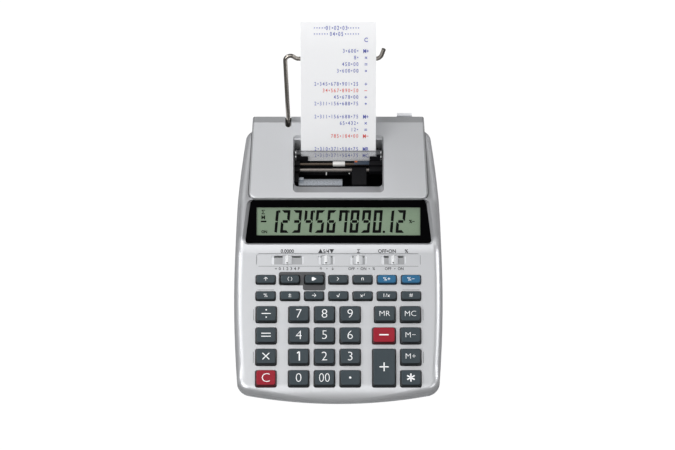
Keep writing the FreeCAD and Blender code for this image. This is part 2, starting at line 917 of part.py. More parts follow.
def upper_case():
    shell = outer_body().cut(inner_body())
    for cut in cover_bay():
        shell = shell.cut(cut)
    shell = shell.cut(display_pocket()).cut(lcd_opening())
    for _, x, y, width, depth, _, _ in key_list():
        shell = shell.cut(key_hole(x, y, width, depth))
    for cut in switch_cuts():
        shell = shell.cut(cut)
    shell = shell.cut(arm_notch()).cut(paper_inlet())
    extras = bay_walls() + hinge_lugs() + arm_lugs() + board_bosses() + upper_bosses() + [wire_rest()]
    shell = fuse_all([shell] + extras)
    for x, y, _ in screw_places():
        top = foot_height + screw_head_depth + screw_head_height + screw_length + screw_gap
        shell = shell.cut(rod_upright(screw_radius + screw_gap / 2, x, y, parting_height, top))
    return halves(shell)


# Lower case and battery bay

def lower_bosses():
    return [rod_upright(boss_radius, x, y, floor_top - 0.5, parting_height) for x, y, _ in screw_places()]


def hatch_rectangle(margin, extra):
    """The battery hatch outline in plan, with room to slide at the rear."""
    front = bay_middle - hatch_half_depth - margin
    rear = bay_middle + hatch_half_depth + margin + extra
    half = hatch_half_width + margin
    return [(-half, front), (half, front), (half, rear), (-half, rear)]


def battery_recess():
    """The recess for the hatch, the grooves beside it and the opening for the cells."""
    top = foot_height + hatch_thickness + hatch_gap
    recess = upright(hatch_rectangle(hatch_gap, hatch_travel), [2.0] * 4, foot_height - 1, top)
    low = foot_height + hatch_tongue_low - hatch_gap
    half = hatch_half_width + hatch_tongue + hatch_gap
    front = bay_middle - hatch_half_depth + hatch_margin - hatch_gap
    rear = bay_middle + hatch_half_depth - hatch_margin + hatch_travel + hatch_gap
    groove = block(-half, half, front, rear, low, top)
    return fuse_all([recess, groove])


def cell_box(margin, low, high):
    half_x = cell_length + cell_pin_length + cell_gap + margin
    half_y = 2 * cell_radius + 1.5 * cell_gap + margin
    return block(-half_x, half_x, bay_middle - half_y, bay_middle + half_y, low, high)


def lower_case():
    tray = body_prism(0, foot_height, parting_height - parting_gap)
    bottom = [edge for edge in tray.Edges if edge.BoundBox.ZMax < foot_height + 0.01]
    tray = tray.makeFillet(base_edge_radius, bottom)
    tray = tray.cut(body_prism(wall, floor_top, reach))
    pad = upright(hatch_rectangle(hatch_margin / 2 + hatch_tongue, hatch_travel), [2.0] * 4, foot_height, battery_floor)
    box = cell_box(bay_box_wall, foot_height, bay_box_top)
    frame_feet = [rod_upright(frame_post_radius, x, y, floor_top - 0.5, frame_bottom) for x, y in frame_posts]
    tray = fuse_all([tray, pad, box] + lower_bosses() + frame_feet)
    tray = tray.cut(cell_box(0, foot_height - 1, bay_box_top - bay_box_wall)).cut(battery_recess())
    for x, y, _ in screw_places():
        head_top = foot_height + screw_head_depth + screw_head_height
        tray = tray.cut(rod_upright(screw_head_radius + screw_gap, x, y, foot_height - 1, head_top))
        tray = tray.cut(rod_upright(screw_radius + screw_gap, x, y, foot_height, parting_height))
    return tray


def battery_cover():
    """A hatch with a tongue along each side and a raised pull at its front edge."""
    low, high = foot_height, foot_height + hatch_thickness
    hatch = upright(hatch_rectangle(0, 0), [2.0] * 4, low, high)
    half = hatch_half_width + hatch_tongue
    reach_y = hatch_half_depth - hatch_margin
    tongue_low = low + hatch_tongue_low
    tongue = block(-half, half, bay_middle - reach_y, bay_middle + reach_y, tongue_low, high)
    pull = plate(0, bay_middle - hatch_half_depth + hatch_margin, hatch_half_width / 2, hatch_lip * 3, 1.2,
                 low, low + hatch_lip)
    return fuse_all([hatch, tongue]).cut(pull)


def battery_cells():
    """Four round cells, two in line in each of two rows."""
    cells = []
    low = foot_height + hatch_thickness + hatch_gap + cell_radius
    for row in (-1, 1):
        y = bay_middle + row * (cell_radius + cell_gap / 2)
        for start in (-cell_length - cell_pin_length, cell_gap):
            body = rod_along_x(cell_radius, start, start + cell_length, y, low)
            pin_end = start + cell_length + cell_pin_length - cell_gap
            pin = rod_along_x(cell_pin_radius, start + cell_length, pin_end, y, low)
            cells.append(body.fuse(pin).removeSplitter())
    return Part.makeCompound(cells)


def rubber_feet():
    feet = []
    for x, y in foot_places:
        cone = Part.makeCone(foot_radius - 0.6, foot_radius, foot_height, Vector(x, y, 0), Vector(0, 0, 1))
        feet.append(cone)
    return Part.makeCompound(feet)


def case_screws():
    screws = []
    for x, y, _ in screw_places():
        low = foot_height + screw_head_depth
        head = rod_upright(screw_head_radius, x, y, low, low + screw_head_height)
        shank = rod_upright(screw_radius, x, y, low + screw_head_height, low + screw_head_height + screw_length)
        cross = block(x - screw_head_radius / 2, x + screw_head_radius / 2, y - 0.3, y + 0.3, low, low + 0.7)
        screws.append(head.fuse(shank).removeSplitter().cut(cross))
    return Part.makeCompound(screws)


# Print mechanism

def printer_frame():
    """Side plates on a base, arms for the tear bar, paper guides, and the motor with its gear."""
    outer = frame_half + frame_plate
    base = block(-outer, outer, frame_front, frame_rear, frame_bottom, frame_bottom + frame_plate)
    shapes = [base]
    for left in (-outer, frame_half):
        shapes.append(block(left, left + frame_plate, frame_front, frame_rear, frame_bottom, frame_top))
    guide = block(-frame_half, frame_half, -guide_plate_start, -guide_plate_end,
                  -guide_plate_stand - guide_plate_thickness, -guide_plate_stand)
    shapes.append(placed(guide, strip_frame()))
    front = block(-frame_half, frame_half, -front_guide_start, -front_guide_end, tear_stand,
                  tear_stand + front_guide_thickness)
    shapes.append(placed(front, strip_frame()))
    for left, right in ((-frame_half, rod_block_left), (rod_block_right, frame_half)):
        shapes += rod_blocks(left, right)
    shapes.append(block(-frame_half, bar_shield_end, bar_front - bar_shield_gap, guide_rod[0],
                        bar_height + bar_shield_gap, guide_rod[1]))
    for side in (-1, 1):
        inner = tear_half - tear_arm_width
        arm = block(inner, tear_half, -tear_arm_start, 0, tear_stand - tear_arm_depth, tear_stand)
        foot = block(inner, frame_half, -tear_arm_start, -tear_arm_start + tear_foot,
                     tear_stand - tear_arm_depth, tear_stand)
        pair = fuse_all([arm, foot])
        if side < 0:
            pair = pair.mirror(Vector(0, 0, 0), Vector(1, 0, 0))
        shapes.append(placed(pair, strip_frame()))
    frame = fuse_all(shapes)
    for place, height, radius in (guide_rod + (guide_rod_radius + rod_fit,), cam_rod + (cam_rod_radius + rod_fit,),
                                  (roller_place, roller_height, roller_shaft_radius + shaft_running)):
        frame = frame.cut(rod_along_x(radius, -outer - 1, outer + 1, place, height))
    return Part.makeCompound([frame, drive_motor()])


def rod_blocks(left, right):
    """Blocks on a side plate that the ends of both rods stand in."""
    blocks = []
    for (place, height), radius in ((guide_rod, guide_rod_radius), (cam_rod, cam_rod_radius)):
        half = radius + rod_block_wall
        blocks.append(block(left, right, place - half, place + half, height - half, height + half))
    return blocks


def drive_motor():
    """The motor on its cradle with the shaft and pinion towards the right side plate."""
    x, y, z = motor_place
    can = rod_along_x(motor_radius, x, x + motor_length, y, z)
    shaft = rod_along_x(1.0, x + motor_length, frame_half - gear_clear, y, z)
    pinion = rod_along_x(motor_pinion_radius, frame_half - gear_clear - gear_width, frame_half - gear_clear, y, z)
    cradle_half = motor_radius * 0.7
    cradle = block(x + 2, x + motor_length - 2, y - cradle_half, y + cradle_half, frame_bottom + frame_plate, z)
    return fuse_all([can, shaft, pinion, cradle])


def carriage_rods():
    """Two rods across the frame and the bent sheet bar in front of them."""
    outer = frame_half + frame_plate
    guide = rod_along_x(guide_rod_radius, -outer, outer, *guide_rod)
    cam = rod_along_x(cam_rod_radius, -outer, outer, *cam_rod)
    low = frame_bottom + frame_plate
    top = block(-frame_half, bar_end, bar_front, bar_rear, bar_height - bar_sheet, bar_height)
    leg = block(bar_end - bar_sheet, bar_end, bar_rear - bar_leg, bar_rear, low, bar_height)
    stop = block(stop_left, stop_left + stop_width, bar_rear - bar_leg, bar_rear, bar_height, bar_height + stop_height)
    return Part.makeCompound([guide, cam, fuse_all([top, leg, stop])])


def print_carriage():
    """The print head: a body on the guide rod with the type wheel housing behind the bar."""
    left, right = carriage_place - carriage_width / 2, carriage_place + carriage_width / 2
    outline = [(carriage_front, carriage_low), (carriage_rear, carriage_low), (carriage_rear, carriage_top),
               (carriage_front, carriage_top)]
    body = across(outline, [0, 0, 1.5, 2.5], left, right)
    housing = block(left + type_margin, right - type_margin, type_front, type_rear, type_low, carriage_low)
    bore = rod_along_x(guide_rod_radius + carriage_running, left, right, *guide_rod)
    return fuse_all([body, housing]).cut(bore)


def feed_roller():
    """The rubber roller on its shaft with a gear outside the right side plate."""
    outer = frame_half + frame_plate
    rubber = rod_along_x(roller_radius, -roller_half, roller_half, roller_place, roller_height)
    gear_left = outer + gear_clear
    shaft = rod_along_x(roller_shaft_radius, -outer, gear_left + gear_width, roller_place, roller_height)
    gear = rod_along_x(roller_gear_radius, gear_left, gear_left + gear_width, roller_place, roller_height)
    return fuse_all([rubber, shaft, gear])


def tear_bar():
    bar = block(-tear_half, tear_half, -tear_length, 0, tear_stand, tear_stand + tear_thickness)
    return placed(bar, strip_frame())


# Paper

def turned(centre, radius, angle):
    """A point on a circle in the Y and Z plane."""
    return Vector(0, centre[0] + radius * math.cos(angle), centre[1] + radius * math.sin(angle))


def paper_path(offset):
    """The middle line of the paper moved to its outer side by offset, from the free end to the roll."""
    up = Vector(0, math.sin(lean), math.cos(lean))
    out = Vector(0, -math.cos(lean), math.sin(lean))
    start = Vector(0, *paper_exit) + up * strip_length + out * offset
    bend = math.radians(curl_angle)
    curl_centre = start - out * (curl_radius + offset)
    curl_mid = curl_centre + (out * math.cos(bend / 2) + up * math.sin(bend / 2)) * (curl_radius + offset)
    curl_end = curl_centre + (out * math.cos(bend) + up * math.sin(bend)) * (curl_radius + offset)
    roller = (roller_place, roller_height)
    radius = wrap_radius + offset
    first = turned(roller, radius, math.pi - lean)
    middle = turned(roller, radius, (math.pi - lean + 1.5 * math.pi) / 2)
    last = turned(roller, radius, 1.5 * math.pi)
    roll = (roll_place, roll_height)
    turn = Vector(0, web_turn_place, roller_height - wrap_radius)
    to_roll = Vector(0, roll[0], roll[1]) - turn
    web_lean = math.atan2(to_roll.y, to_roll.z) + math.asin(roll_wrap / to_roll.Length)
    web_up = Vector(0, math.sin(web_lean), math.cos(web_lean))
    web_out = Vector(0, math.cos(web_lean), -math.sin(web_lean))
    end = turn + web_up * math.sqrt(to_roll.Length ** 2 - roll_wrap ** 2) + web_out * offset
    shifted_turn = turn + Vector(0, math.tan((math.pi / 2 - web_lean) / 2) * offset, -offset)
    arc = corner_arc(last, shifted_turn, end, web_turn_radius + offset)
    return [
        Part.Arc(curl_end, curl_mid, start).toShape(),
        Part.LineSegment(start, first).toShape(),
        Part.Arc(first, middle, last).toShape(),
        Part.LineSegment(last, arc[0]).toShape(),
        Part.Arc(*arc).toShape(),
        Part.LineSegment(arc[2], end).toShape(),
    ]


def paper_strip():
    """One sheet from the free end, round the feed roller and out to the roll."""
    outer = paper_path(paper_thickness / 2)
    inner = paper_path(-paper_thickness / 2)
    free_end = Part.LineSegment(inner[0].Vertexes[0].Point, outer[0].Vertexes[0].Point).toShape()
    roll_end = Part.LineSegment(outer[-1].Vertexes[-1].Point, inner[-1].Vertexes[-1].Point).toShape()
    wire = Part.Wire(Part.__sortEdges__(outer + inner + [free_end, roll_end]))
    sheet = Part.Face(wire).extrude(Vector(paper_width, 0, 0))
    sheet.translate(Vector(-paper_width / 2, 0, 0))
    return sheet


def paper_roll():
    left, right = -paper_width / 2, paper_width / 2
    body = rod_along_x(roll_radius, left, right, roll_place, roll_height)
    return body.cut(rod_along_x(roll_bore, left, right, roll_place, roll_height))


# Wire arm

def arm_point(x, along):
    """A point of the arm, by its distance from the pivot along the leaning leg."""
    place, height = arm_pivot
    return Vector(x, place + along * math.sin(arm_slope), height + along * math.cos(arm_slope))


def paper_arm():
    """One bent wire: foot, leg, shoulder, bar through the roll and a turned-up end."""
    points = [
        arm_point(arm_stub_end, 0),
        arm_point(arm_leg_x, 0),
        arm_point(arm_bend_x, arm_leg_top),
        arm_point(arm_dip_x, arm_bar),
        arm_point(arm_hook_x, arm_bar),
        arm_point(arm_hook_end, arm_bar + arm_hook_length),
    ]
    shoulder = wire_bend * 0.8
    wire = rounded_wire(points, [0, wire_bend, shoulder, wire_bend, wire_bend, 0], closed=False)
    section = Part.Wire(Part.Circle(points[0], Vector(1, 0, 0), wire_radius).toShape())
    return wire.makePipeShell([section], True, True)


# All sub-parts

def save(name, shape):
    """Write one sub-part with the middle of the whole depth at the origin."""
    moved = shape.copy()
    moved.translate(Vector(0, -overall_depth / 2, 0))
    moved.exportStep("parts/" + name + ".step")


def main():
    os.makedirs("parts", exist_ok=True)
    save("lower_case", lower_case())
    save("upper_case", upper_case())
    save("printer_cover", printer_cover())
    save("display_window", display_window())
    save("lcd_panel", lcd_panel())
    save("main_board", main_board())
    save("key_mat", key_mat())
    save("battery_cover", battery_cover())
    save("battery_cells", battery_cells())
    save("rubber_feet", rubber_feet())
    save("case_screws", case_screws())
    save("printer_frame", printer_frame())
    save("carriage_rods", carriage_rods())
    save("print_carriage", print_carriage())
    save("feed_roller", feed_roller())
    save("tear_bar", tear_bar())
    save("paper_strip", paper_strip())
    save("paper_roll", paper_roll())
    save("paper_arm", paper_arm())
    for name, (x, width) in switch_windows.items():
        save(name, switch_knob(x, width))
    for name, x, y, width, depth, height, tab in key_list():
        save(name, placed(key_cap(x, y, width, depth, height, tab), deck_frame()))


if __name__ == "__main__":
    main()
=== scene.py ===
import math

import bmesh
import bpy
from mathutils import Matrix, Vector


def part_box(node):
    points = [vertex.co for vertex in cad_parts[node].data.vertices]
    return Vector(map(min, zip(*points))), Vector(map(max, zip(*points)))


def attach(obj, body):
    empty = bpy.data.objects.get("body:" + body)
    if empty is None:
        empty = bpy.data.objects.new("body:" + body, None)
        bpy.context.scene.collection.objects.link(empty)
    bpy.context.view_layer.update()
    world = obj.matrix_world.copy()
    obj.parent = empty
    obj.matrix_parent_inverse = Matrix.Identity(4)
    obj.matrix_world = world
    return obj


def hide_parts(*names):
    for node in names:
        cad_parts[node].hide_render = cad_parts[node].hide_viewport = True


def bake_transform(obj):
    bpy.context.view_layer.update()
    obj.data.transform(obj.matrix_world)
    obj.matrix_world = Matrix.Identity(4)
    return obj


bl_info = {
    "name": "Printing Calculator",
    "version": (1, 0, 0),
    "blender": (4, 5, 0),
    "location": "View3D > Sidebar > Calculator",
    "description": "Finishes and detail pieces for a desktop printing calculator",
    "category": "Object",
}

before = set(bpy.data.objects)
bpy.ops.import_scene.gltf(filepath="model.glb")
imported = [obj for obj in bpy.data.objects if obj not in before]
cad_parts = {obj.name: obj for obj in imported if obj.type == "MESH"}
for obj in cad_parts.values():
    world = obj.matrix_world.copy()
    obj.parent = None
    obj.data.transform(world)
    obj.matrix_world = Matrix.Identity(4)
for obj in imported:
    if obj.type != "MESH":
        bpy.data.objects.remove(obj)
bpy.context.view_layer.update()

MM = 0.001
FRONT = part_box("lower_case")[0].y


def at(x, y, z):
    """A place on the object, in millimetres from the middle of the front edge at desk height."""
    return Vector((x * MM, FRONT + y * MM, z * MM))


def leaning(y, z, degrees):
    """A local frame that is turned about the left-to-right axis, with its origin on the object."""
    return Matrix.Translation(at(0, y, z)) @ Matrix.Rotation(math.radians(degrees), 4, "X")


# Local frames of the keyboard deck, the display, the printed strip and the wire arm
DECK_HEIGHT = 13.1
DECK_ANGLE = 7.0
DECK = leaning(0, DECK_HEIGHT, DECK_ANGLE)
DISPLAY = leaning(123.0, 27.6, 26.0)
PAPER_LEAN = 28.0
STRIP = leaning(190.9, 50.0, 90 - PAPER_LEAN)
ARM = leaning(206.5, 28.0, 60.0)

# Keys: rows and columns on the deck, in millimetres
FIRST_ROW = 15.05
ROW_PITCH = 16.95
KEY_SIZE = (15.5, 13.0, 3.0)
SMALL_KEY_SIZE = (14.7, 7.3, 2.2)
SMALL_PITCH = 18.15
FUNCTION_ROWS = (93.9, 80.75)
WIDE_KEY = (34.0, 17.4)
MEMORY_KEY = (34.7, 15.9)

# Legends of the main block by column, from the front row to the rear row
MAIN_BLOCK = (
    (-53.9, (("key_clear", "C"), ("key_multiply", "×"), ("key_equals", "="), ("key_divide", "÷"))),
    (-29.5, (("key_0", "0"), ("key_1", "1"), ("key_4", "4"), ("key_7", "7"))),
    (-10.35, (("key_00", "00"), ("key_2", "2"), ("key_5", "5"), ("key_8", "8"))),
    (8.8, (("key_point", "•"), ("key_3", "3"), ("key_6", "6"), ("key_9", "9"))),
    (53.85, (("key_total", "∗"), ("key_memory_plus", "M+"), ("key_memory_minus", "M−"),
             ("key_memory_subtotal", "MC"))),
)
FUNCTION_KEYS = (
    (("key_feed", "↑"), ("key_mode", "○"), ("key_start", "►"), ("key_grand_total", "Σ"),
     ("key_item_count", "n"), ("key_tax_plus", "%+"), ("key_tax_minus", "%−")),
    (("key_percent_change", "%"), ("key_sign_root", "±"), ("key_backspace", "→"), ("key_cost", "√"),
     ("key_sell", "x²"), ("key_margin", "1/x"), ("key_number", "#")),
)
# Slide switches: middle and width of every window on the deck
SWITCH_ROW = 110.0
SWITCH_DEPTH = 7.2
SWITCH_STRIP = (122.6, 9.8)
SWITCHES = (
    ("decimal_switch", -38.4, 24.2), ("rounding_switch", -9.2, 12.4), ("total_switch", 14.8, 12.6),
    ("print_switch", 41.3, 18.4),
)
# The sides of the case in plan, the rounding of their rim and the wider rounding that the paint shows
HALF_BODY = 78.2
SIDE_BOW = 890.0
WIDEST_PLACE = 85.5
RIM_RADIUS = 4.0
SOFT_RIM = 6.4
RIM_START = 0.4
# The rougher rails beside the display and the cover, which carry painted shade: start, outer edge and inner
# edge, and the wall behind them
RAIL_START = 122.0
RAIL_EDGE = 1.4
RAIL_WIDTH = 10.5
REAR_WALL = 212.5
# The guide rod and the thin rod lie behind these places
GUIDE_START = 175.5
THIN_START = 181.5
# The printer cover's reach along the body, and its half width at both ends
COVER_REACH = (151.4, 222.3)
COVER_HALF = (67.8, 64.9)
# The printer window's half width and its front edge on the cover
WINDOW_HALF = 34.2
WINDOW_FRONT = 156.1
# The wire rest stands behind this place on the upper case
REST_PLACE = 213.0
RED_KEYS = ("key_clear", "key_minus")
BLUE_KEYS = ("key_tax_plus", "key_tax_minus")

# Paper path, in millimetres
PAPER_WIDTH = 56.5
PAPER_THICKNESS = 0.2
STRIP_LENGTH = 86.5
CURL_RADIUS = 75.0
CURL_ANGLE = 18.0
ROLLER_RADIUS = 6.4
ROLLER = (188.046, 31.0)
WEB_TURN = (223.0, 24.6)
WEB_TURN_RADIUS = 9.0
ROLL = (244.75, 90.15)
ROLL_RADIUS = 20.0
ROLL_BORE = 6.0
ROLL_WRAP = 20.4


class Val:
    """A shader socket that can be used in Python expressions."""

    def __init__(self, tree, socket):
        self.tree = tree
        self.socket = socket

    def math(self, operation, *operands):
        node = self.tree.nodes.new("ShaderNodeMath")
        node.operation = operation
        for socket, value in zip(node.inputs, operands):
            connect(self.tree, socket, value)
        return Val(self.tree, node.outputs[0])

    def __add__(self, other):
        return self.math("ADD", self, other)

    def __radd__(self, other):
        return self.math("ADD", other, self)

    def __sub__(self, other):
        return self.math("SUBTRACT", self, other)

    def __rsub__(self, other):
        return self.math("SUBTRACT", other, self)

    def __mul__(self, other):
        return self.math("MULTIPLY", self, other)

    def __rmul__(self, other):
        return self.math("MULTIPLY", other, self)

    def __truediv__(self, other):
        return self.math("DIVIDE", self, other)

    def __rtruediv__(self, other):
        return self.math("DIVIDE", other, self)

    def __gt__(self, other):
        return self.math("GREATER_THAN", self, other)

    def __lt__(self, other):
        return self.math("LESS_THAN", self, other)

    def __abs__(self):
        return self.math("ABSOLUTE", self)

    def high(self, other):
        return self.math("MAXIMUM", self, other)

    def low(self, other):
        return self.math("MINIMUM", self, other)

    def root(self):
        return self.math("SQRT", self)

    def sine(self):
        return self.math("SINE", self)


def connect(tree, socket, value):
    """Link a wrapped socket, or set a plain value."""
    if isinstance(value, Val):
        tree.links.new(value.socket, socket)
    else:
        socket.default_value = value


class Finish:
    """One procedural material."""

    def __init__(self, name):
        self.material = bpy.data.materials.new(name)
        self.material.use_nodes = True
        self.tree = self.material.node_tree
        self.tree.nodes.clear()

    def node(self, kind, settings=None, sockets=None, output=0):
        """Any node, with its settings made first, and then its sockets set or linked."""
        node = self.tree.nodes.new(kind)
        for key, value in (settings or {}).items():
            setattr(node, key, value)
        for key, value in (sockets or {}).items():
            connect(self.tree, node.inputs[key], value)
        return Val(self.tree, node.outputs[output])

    def place(self):
        """Object coordinates."""
        return self.node("ShaderNodeTexCoord", output=3)

    def axes(self):
        """The three object coordinates as separate values."""
        split = self.tree.nodes.new("ShaderNodeSeparateXYZ")
        connect(self.tree, split.inputs[0], self.place())
        return [Val(self.tree, socket) for socket in split.outputs]

    def noise(self, scale, detail=3.0, stretch=None):
        """Noise from 0 to 1, with its scale in waves per metre."""
        where = self.place()
        if stretch:
            where = self.node("ShaderNodeMapping", sockets={"Vector": where, "Scale": stretch})
        return self.node("ShaderNodeTexNoise", sockets={"Vector": where, "Scale": scale, "Detail": detail})

    def mix(self, factor, first, second):
        """A colour between two colours."""
        node = self.tree.nodes.new("ShaderNodeMix")
        node.data_type = "RGBA"
        connect(self.tree, node.inputs[0], factor)
        connect(self.tree, node.inputs[6], first)
        connect(self.tree, node.inputs[7], second)
        return Val(self.tree, node.outputs[2])

    def bump(self, height, distance, strength=1.0, normal=None):
        """A normal bent by a height, on top of another bent normal where one is given."""
        sockets = {"Height": height, "Distance": distance, "Strength": strength}
        if normal:
            sockets["Normal"] = normal
        return self.node("ShaderNodeBump", sockets=sockets)

    def inside(self, x, y, left, right, low, high, corner):
        """1 inside a rectangle with rounded corners, given in millimetres, and 0 outside it."""
        wide = abs(x - (left + right) / 2 * MM) - ((right - left) / 2 - corner) * MM
        tall = abs(y - (low + high) / 2 * MM) - ((high - low) / 2 - corner) * MM
        wide, tall = wide.high(0.0), tall.high(0.0)
        return (wide * wide + tall * tall).root() < corner * MM

    def surface(self, **sockets):
        """The shader itself, with underscores standing for the spaces in its socket names."""
        named = {key.replace("_", " "): value for key, value in sockets.items()}
        return self.end(self.node("ShaderNodeBsdfPrincipled", sockets=named))

    def end(self, shader):
        output = self.tree.nodes.new("ShaderNodeOutputMaterial")
        self.tree.links.new(shader.socket, output.inputs["Surface"])
        return self.material


def shade(colour, factor):
    """A colour made lighter or darker, with full opacity."""
    return (colour[0] * factor, colour[1] * factor, colour[2] * factor, 1.0)


# Finishes

SILVER_METAL = 0.7


def flaked(finish, colour):
    """Colour, roughness and relief of satin silver paint with fine flakes."""
    flake = finish.noise(5200.0, 1.0)
    cloud = finish.noise(14.0, 2.0)
    tone = finish.mix(flake * 0.55 + cloud * 0.45, shade(colour, 0.93), shade(colour, 1.07))
    return tone, 0.34 + flake * 0.10, finish.bump(flake, 0.00001, 0.25)


def drop(distance, radius):
    """How far a rounded edge of a radius in millimetres falls away, at a distance from the edge."""
    inner = (radius * MM - distance).high(0.0)
    return radius * MM - ((radius * MM) ** 2 - inner * inner).root()


def side_distance(x, y):
    """How far a place lies inside the bowed side of the case, and nothing on the wall itself."""
    along = y - (FRONT + WIDEST_PLACE * MM)
    half = ((SIDE_BOW * MM) ** 2 - along * along).root() - (SIDE_BOW - HALF_BODY) * MM
    return half - abs(x)


def rail_share(x, y):
    """Share of painted shade and extra roughness: one on the rails beside the display and the cover, none on
    the deck and on the outer walls.
    """
    distance = side_distance(x, y)
    rear = (y - (FRONT + RAIL_START * MM)) / (5.0 * MM)
    wall = FRONT + REAR_WALL * MM - y
    inward = (distance.low(wall) - RAIL_EDGE * MM) / (1.0 * MM)
    outward = (RAIL_WIDTH * MM - distance) / (1.5 * MM)
    return rear.low(inward).low(outward).high(0.0).low(1.0)


def soft_rim(x, y):
    """Relief that widens the rounding along the sides of the case from the cut radius to the soft radius."""
    distance = side_distance(x, y).high(RIM_START * MM)
    fade = (y - (FRONT + 12.0 * MM)) / (14.0 * MM)
    return (drop(distance, RIM_RADIUS) - drop(distance, SOFT_RIM)) * fade.high(0.0).low(1.0)


def cover_paint(colour):
    """Silver paint with painted shade on the slope in front of the printer window, and a darker, rougher band
    of painted shade along the sides.
    """
    finish = Finish("cover_silver")
    x, y, _ = finish.axes()
    tone, rough, relief = flaked(finish, colour)
    # Painted shade: the slope in front of the printer window is painted darker.
    slope = finish.inside(x, y - FRONT, -WINDOW_HALF, WINDOW_HALF, WINDOW_FRONT, WINDOW_FRONT + 9.0, 3.0)
    tone = finish.mix(slope, tone, shade(colour, 0.52))
    taper = (COVER_HALF[1] - COVER_HALF[0]) / (COVER_REACH[1] - COVER_REACH[0])
    half = (y - (FRONT + COVER_REACH[0] * MM)) * taper + COVER_HALF[0] * MM
    # Painted shade: a band along the cover's side edges is painted darker; it is also rougher.
    edge = (half - abs(x)) < 1.3 * MM
    tone = finish.mix(edge, tone, shade(colour, 0.5))
    rough = rough + edge * 0.25
    return finish.surface(Base_Color=tone, Metallic=SILVER_METAL, Roughness=rough, Normal=relief)


def case_paint(colour, patch_colour):
    """Silver paint with a dark printed patch round two keys, grey switch floors with painted highlights at
    their ends, rougher rails with painted shade and a white wire rest.
    """
    finish = Finish("case_silver")
    x, y, z = finish.axes()
    slope = math.radians(DECK_ANGLE)
    along = (y - FRONT) * math.cos(slope) + (z - DECK_HEIGHT * MM) * math.sin(slope)
    level = (z - DECK_HEIGHT * MM) * math.cos(slope) - (y - FRONT) * math.sin(slope)
    patch = finish.inside(x, along, -44.8, -9.6, 89.4, 100.3, 2.0)
    patch = patch.high(finish.inside(x, along, -26.6, -9.6, 85.3, 95.0, 2.0))
    tone, rough, relief = flaked(finish, colour)
    patch = patch * (level > -0.5 * MM)
    tone = finish.mix(patch, tone, shade(patch_colour, 1.0))
    sunk = level < -0.7 * MM
    for _, middle, width in SWITCHES:
        left, right = middle - width / 2, middle + width / 2
        low, high = SWITCH_ROW - SWITCH_DEPTH / 2, SWITCH_ROW + SWITCH_DEPTH / 2
        floor = finish.inside(x, along, left, right, low, high, 0.2) * sunk
        # Painted highlight: the ends of each switch floor are painted lighter.
        end_highlight = (x < (left + 2.2) * MM).high(x > (right - 0.8) * MM)
        window = finish.mix(end_highlight, shade(colour, 0.66), shade(colour, 1.3))
        tone = finish.mix(floor, tone, window)
    rest = y > FRONT + REST_PLACE * MM
    tone = finish.mix(rest, tone, shade(colour, 1.3))
    # Painted shade: the rails are painted darker, and they are rougher too.
    rail_shade = rail_share(x, y) * (1.0 - rest)
    tone = finish.mix(rail_shade, tone, shade(colour, 0.56))
    rough = rough + rail_shade * 0.2
    relief = finish.bump(soft_rim(x, y), 1.0, 1.0, relief)
    metal_share = (1.0 - patch.high(rest)) * SILVER_METAL
    return finish.surface(Base_Color=tone, Metallic=metal_share, Roughness=rough, Normal=relief)


def slider_plastic(name, grey, light):
    """Grey sliders with a painted highlight, a pale band down the middle of each of them."""
    finish = Finish(name)
    x = finish.axes()[0]
    skin = finish.noise(1800.0, 4.0)
    # Painted highlight: a pale band down the middle of each slider.
    middle_highlight = 0.0
    for _, middle, _ in SWITCHES:
        middle_highlight = (abs(x - middle * MM) < 1.7 * MM) + middle_highlight
    tone = finish.mix(middle_highlight, shade(grey, 1.0), shade(light, 1.0))
    tone = finish.mix(skin * 0.15, tone, shade(light, 1.1))
    relief = finish.bump(skin, 0.00002, 0.4)
    return finish.surface(Base_Color=tone, Roughness=0.36 + skin * 0.1, Normal=relief)


def moulded_plastic(name, colour, grain=1800.0, rough=0.5, shine=0.5):
    """Moulded plastic with a fine spark-eroded grain."""
    finish = Finish(name)
    skin = finish.noise(grain, 4.0)
    cloud = finish.noise(30.0, 2.0)
    tone = finish.mix(skin * 0.5 + cloud * 0.5, shade(colour, 0.85), shade(colour, 1.15))
    return finish.surface(Base_Color=tone, Roughness=rough - 0.08 + skin * 0.16, Specular_IOR_Level=shine,
                          Normal=finish.bump(skin, 0.00003, 0.5))


def gloss_plastic(name, colour, rough=0.12, shine=0.5):
    """Polished plastic with faint polishing haze."""
    finish = Finish(name)
    haze = finish.noise(60.0, 3.0)
    tone = finish.mix(haze, shade(colour, 0.8), shade(colour, 1.2))
    return finish.surface(Base_Color=tone, Roughness=rough + haze * 0.06, Specular_IOR_Level=shine)


def metal(name, colour, rough, along=(1.0, 60.0, 60.0), grain=400.0):
    """Metal with fine drawing lines along one direction."""
    finish = Finish(name)
    lines = finish.noise(grain, 3.0, along)
    tone = finish.mix(lines, shade(colour, 0.85), shade(colour, 1.1))
    return finish.surface(Base_Color=tone, Metallic=1.0, Roughness=rough - 0.06 + lines * 0.12,
                          Normal=finish.bump(lines, 0.00001, 0.3))


def rods_metal(bar, steel, bronze):
    """Bright steel for the front bar, plain steel for the guide rod and bronze for the thin rod behind it."""
    finish = Finish("rods_metal")
    y = finish.axes()[1]
    lines = finish.noise(400.0, 3.0, (1.0, 60.0, 60.0))
    tone = finish.mix(y > FRONT + GUIDE_START * MM, shade(bar, 1.0), shade(steel, 1.0))
    tone = finish.mix(y > FRONT + THIN_START * MM, tone, shade(bronze, 1.0))
    tone = finish.mix(lines * 0.3, tone, shade(steel, 0.7))
    return finish.surface(Base_Color=tone, Metallic=0.85, Roughness=0.22 + lines * 0.12)


def rubber(name, colour):
    finish = Finish(name)
    skin = finish.noise(2600.0, 3.0)
    tone = finish.mix(skin, shade(colour, 0.8), shade(colour, 1.2))
    relief = finish.bump(skin, 0.00004, 0.5)
    return finish.surface(Base_Color=tone, Roughness=0.7 + skin * 0.15, Normal=relief)


